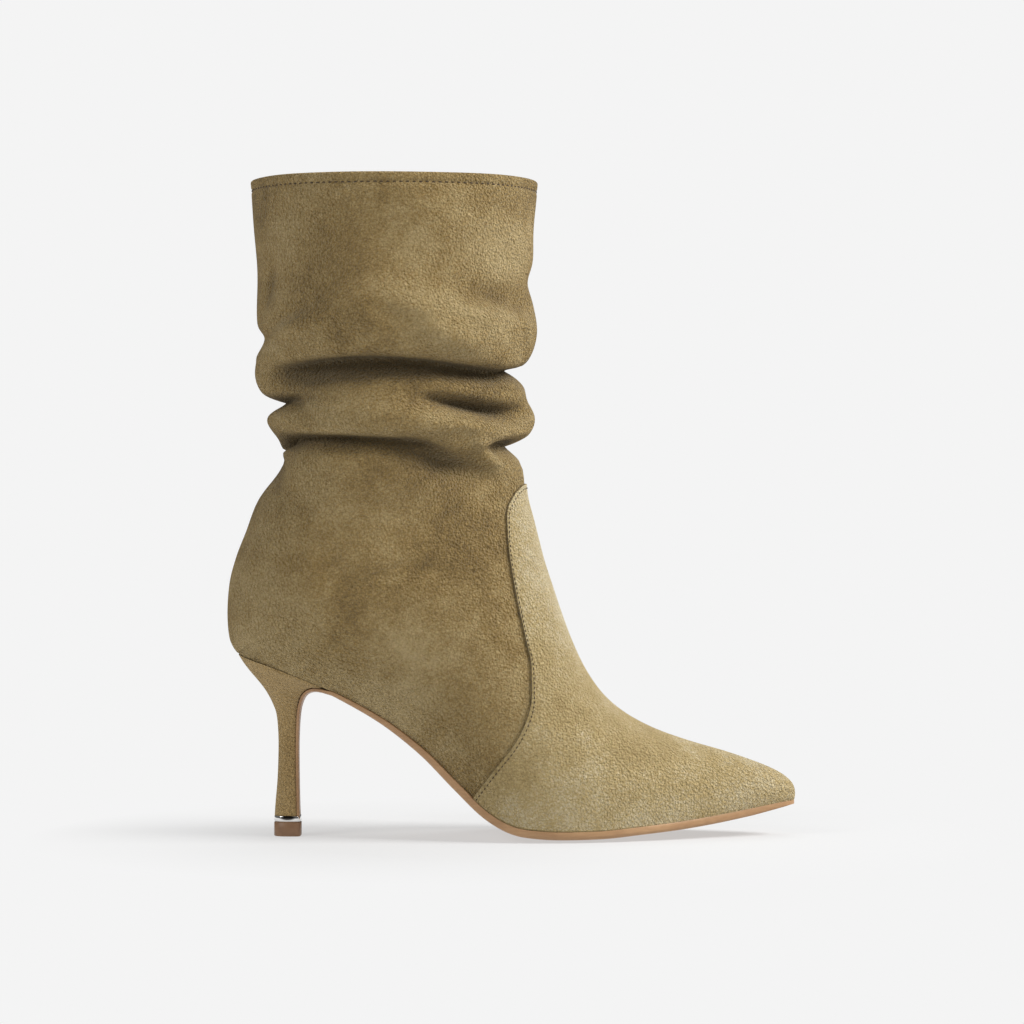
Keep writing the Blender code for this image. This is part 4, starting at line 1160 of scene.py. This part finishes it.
# A painted reflection: the band's colour is near-black round its middle, standing in for the dark room it
# would mirror: its place, flatness, and where it starts and ends
PAINTED_REFLECTION_ALONG = 0.52
PAINTED_REFLECTION_UP = 0.0081875
PAINTED_REFLECTION_FLATNESS = 3.2
PAINTED_REFLECTION_INSIDE = 0.0024
PAINTED_REFLECTION_OUTSIDE = 0.0040


def tip_slab(name, levels, material):
    """A rounded slab of the heel's tip through (height, inset) levels."""
    rings = [
        d_ring((TIP_BACK + inset, z), (TIP_BACK + TIP_LENGTH - inset, z), TIP_WIDTH / 2 - inset, TIP_AROUND)
        for z, inset in levels
    ]
    faces = grid_faces(len(rings), TIP_AROUND)
    faces += [tuple(range(TIP_AROUND)), tuple((len(rings) - 1) * TIP_AROUND + j for j in range(TIP_AROUND))]
    return new_mesh(name, np.array(rings), faces, material, ridge_angle=60)


silver = Shader("silver", Metallic=1.0, Roughness=0.10)
middle = silver.node(
    "Mapping", Vector=silver.place(), Scale=(1.0, 0.0, PAINTED_REFLECTION_FLATNESS),
    Location=(-(FOOT_BACK + TIP_BACK + TIP_LENGTH * PAINTED_REFLECTION_ALONG), 0.0, -PAINTED_REFLECTION_UP * PAINTED_REFLECTION_FLATNESS))
from_painted_reflection = silver.node("VectorMath", {"operation": "LENGTH"}, out=1, i0=middle)
# Painted reflection: near-black colour round the band's middle, pale metal outside it
silver.set(Base_Color=silver.blend(silver.ramp(from_painted_reflection, PAINTED_REFLECTION_INSIDE, PAINTED_REFLECTION_OUTSIDE),
                                   (0.05, 0.045, 0.04, 1.0), (0.82, 0.81, 0.79, 1.0)))
levels = [(TOP_PIECE_HEIGHT + rise, inset) for rise, inset in BAND_ROUNDING]
levels += [(STEM_FOOT - rise, inset) for rise, inset in reversed(BAND_ROUNDING)]
band = tip_slab("metal_band", levels, silver.material)
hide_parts("heel_band")

tip_rubber = Shader("tip_rubber", Roughness=0.5)
place = tip_rubber.place()
tip_rubber.set(
    Base_Color=tip_rubber.blend(tip_rubber.noise(place, 300.0, 3.0), (0.20, 0.105, 0.050, 1.0),
                                (0.30, 0.170, 0.090, 1.0)),
    Normal=tip_rubber.bump(tip_rubber.noise(place, 2500.0), 0.0001, 0.3),
)
levels = [(0.0, FLOOR_BEVEL), (FLOOR_BEVEL, 0.0), (TOP_PIECE_HEIGHT - TOP_BEVEL, 0.0),
          (TOP_PIECE_HEIGHT, TOP_BEVEL)]
tip = tip_slab("wearing_block", levels, tip_rubber.material)
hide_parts("top_piece")

# Studio
# A plain pale paper floor that fades into an equally pale room at a distance. A broad soft light stands
# high beyond the toe, a weaker one fills the outer side and one comes from above behind.

PAPER = 0.905
FLOOR_GREY = 0.65
FLOOR_SIZE = 60
# The floor's own glow comes up from its share near the boot, between two distances counted in this scale
FADE_SCALE = 1.6
FADE_FROM = 0.17
FADE_TO = 0.34
NEAR_GLOW = 0.56
ROOM_LIGHT = 0.15

floor_paper = Shader("floor_paper", Roughness=1.0, Specular_IOR_Level=0.0,
                     Base_Color=(FLOOR_GREY, FLOOR_GREY, FLOOR_GREY, 1.0))
glow = floor_paper.node("Emission", Color=(PAPER, PAPER, PAPER, 1.0))
flat = floor_paper.node("Mapping", Vector=floor_paper.place(), Scale=(FADE_SCALE, FADE_SCALE, 0.0))
distance = floor_paper.node("VectorMath", {"operation": "LENGTH"}, out=1, i0=flat)
lit = Signal(floor_paper.tree, floor_paper.surface.outputs[0])
paper = floor_paper.node("MixShader", i0=floor_paper.ramp(distance, FADE_FROM, FADE_TO, NEAR_GLOW, 1.0),
                         i1=lit, i2=glow)
floor_paper.link(paper, floor_paper.tree.nodes["Material Output"].inputs[0])
bpy.ops.mesh.primitive_plane_add(size=FLOOR_SIZE)
floor = bpy.context.object
floor.name = "floor"
floor.data.materials.append(floor_paper.material)

world = bpy.data.worlds.new("room")
world.use_nodes = True
bpy.context.scene.world = world
room = Nodes(world.node_tree)
background = room.tree.nodes["Background"]
room.link((PAPER, PAPER, PAPER, 1.0), background.inputs["Color"])
room.link(room.ramp(room.node("LightPath"), 0.0, 1.0, ROOM_LIGHT, 1.0), background.inputs["Strength"])


def soft_light(name, place, aim, size, power):
    """A square soft box that faces a point."""
    light = bpy.data.lights.new(name, "AREA")
    light.size, light.energy = size, power
    obj = bpy.data.objects.new(name, light)
    bpy.context.scene.collection.objects.link(obj)
    obj.location = place
    direction = np.array(aim) - np.array(place)
    turn = math.atan2(direction[0], direction[1])
    tilt = math.atan2(math.hypot(direction[0], direction[1]), -direction[2])
    obj.rotation_euler = (tilt, 0.0, -turn)


BOOT_MIDDLE = (0.0, 0.0, 0.14)
soft_light("key", (1.8, -0.46, 1.6), BOOT_MIDDLE, 1.1, 80.0)
soft_light("fill", (-1.5, -1.2, 1.2), BOOT_MIDDLE, 0.9, 17.0)
soft_light("back", (0.2, 1.0, 2.0), BOOT_MIDDLE, 1.6, 14.0)

# Camera
# It stands level and square to the boot's outer side. The photo's scale and the pixel row where the boot
# meets the floor give its field of view and its height.

PHOTO_PIXELS = 1024
METRES_PER_PIXEL = 0.00044
FLOOR_PIXEL = 835.5
MIDDLE_PIXEL = 512
CAMERA_DISTANCE = 1.55
SENSOR = 36.0

camera_data = bpy.data.cameras.new("camera")
camera_data.sensor_width = SENSOR
camera_data.lens = SENSOR * CAMERA_DISTANCE / (PHOTO_PIXELS * METRES_PER_PIXEL)
camera = bpy.data.objects.new("camera", camera_data)
camera.location = (0.0, -CAMERA_DISTANCE, (FLOOR_PIXEL - MIDDLE_PIXEL) * METRES_PER_PIXEL)
camera.rotation_euler = (math.radians(90), 0.0, 0.0)
bpy.context.scene.collection.objects.link(camera)
bpy.context.scene.camera = camera
bpy.context.scene.view_settings.view_transform = "Standard"
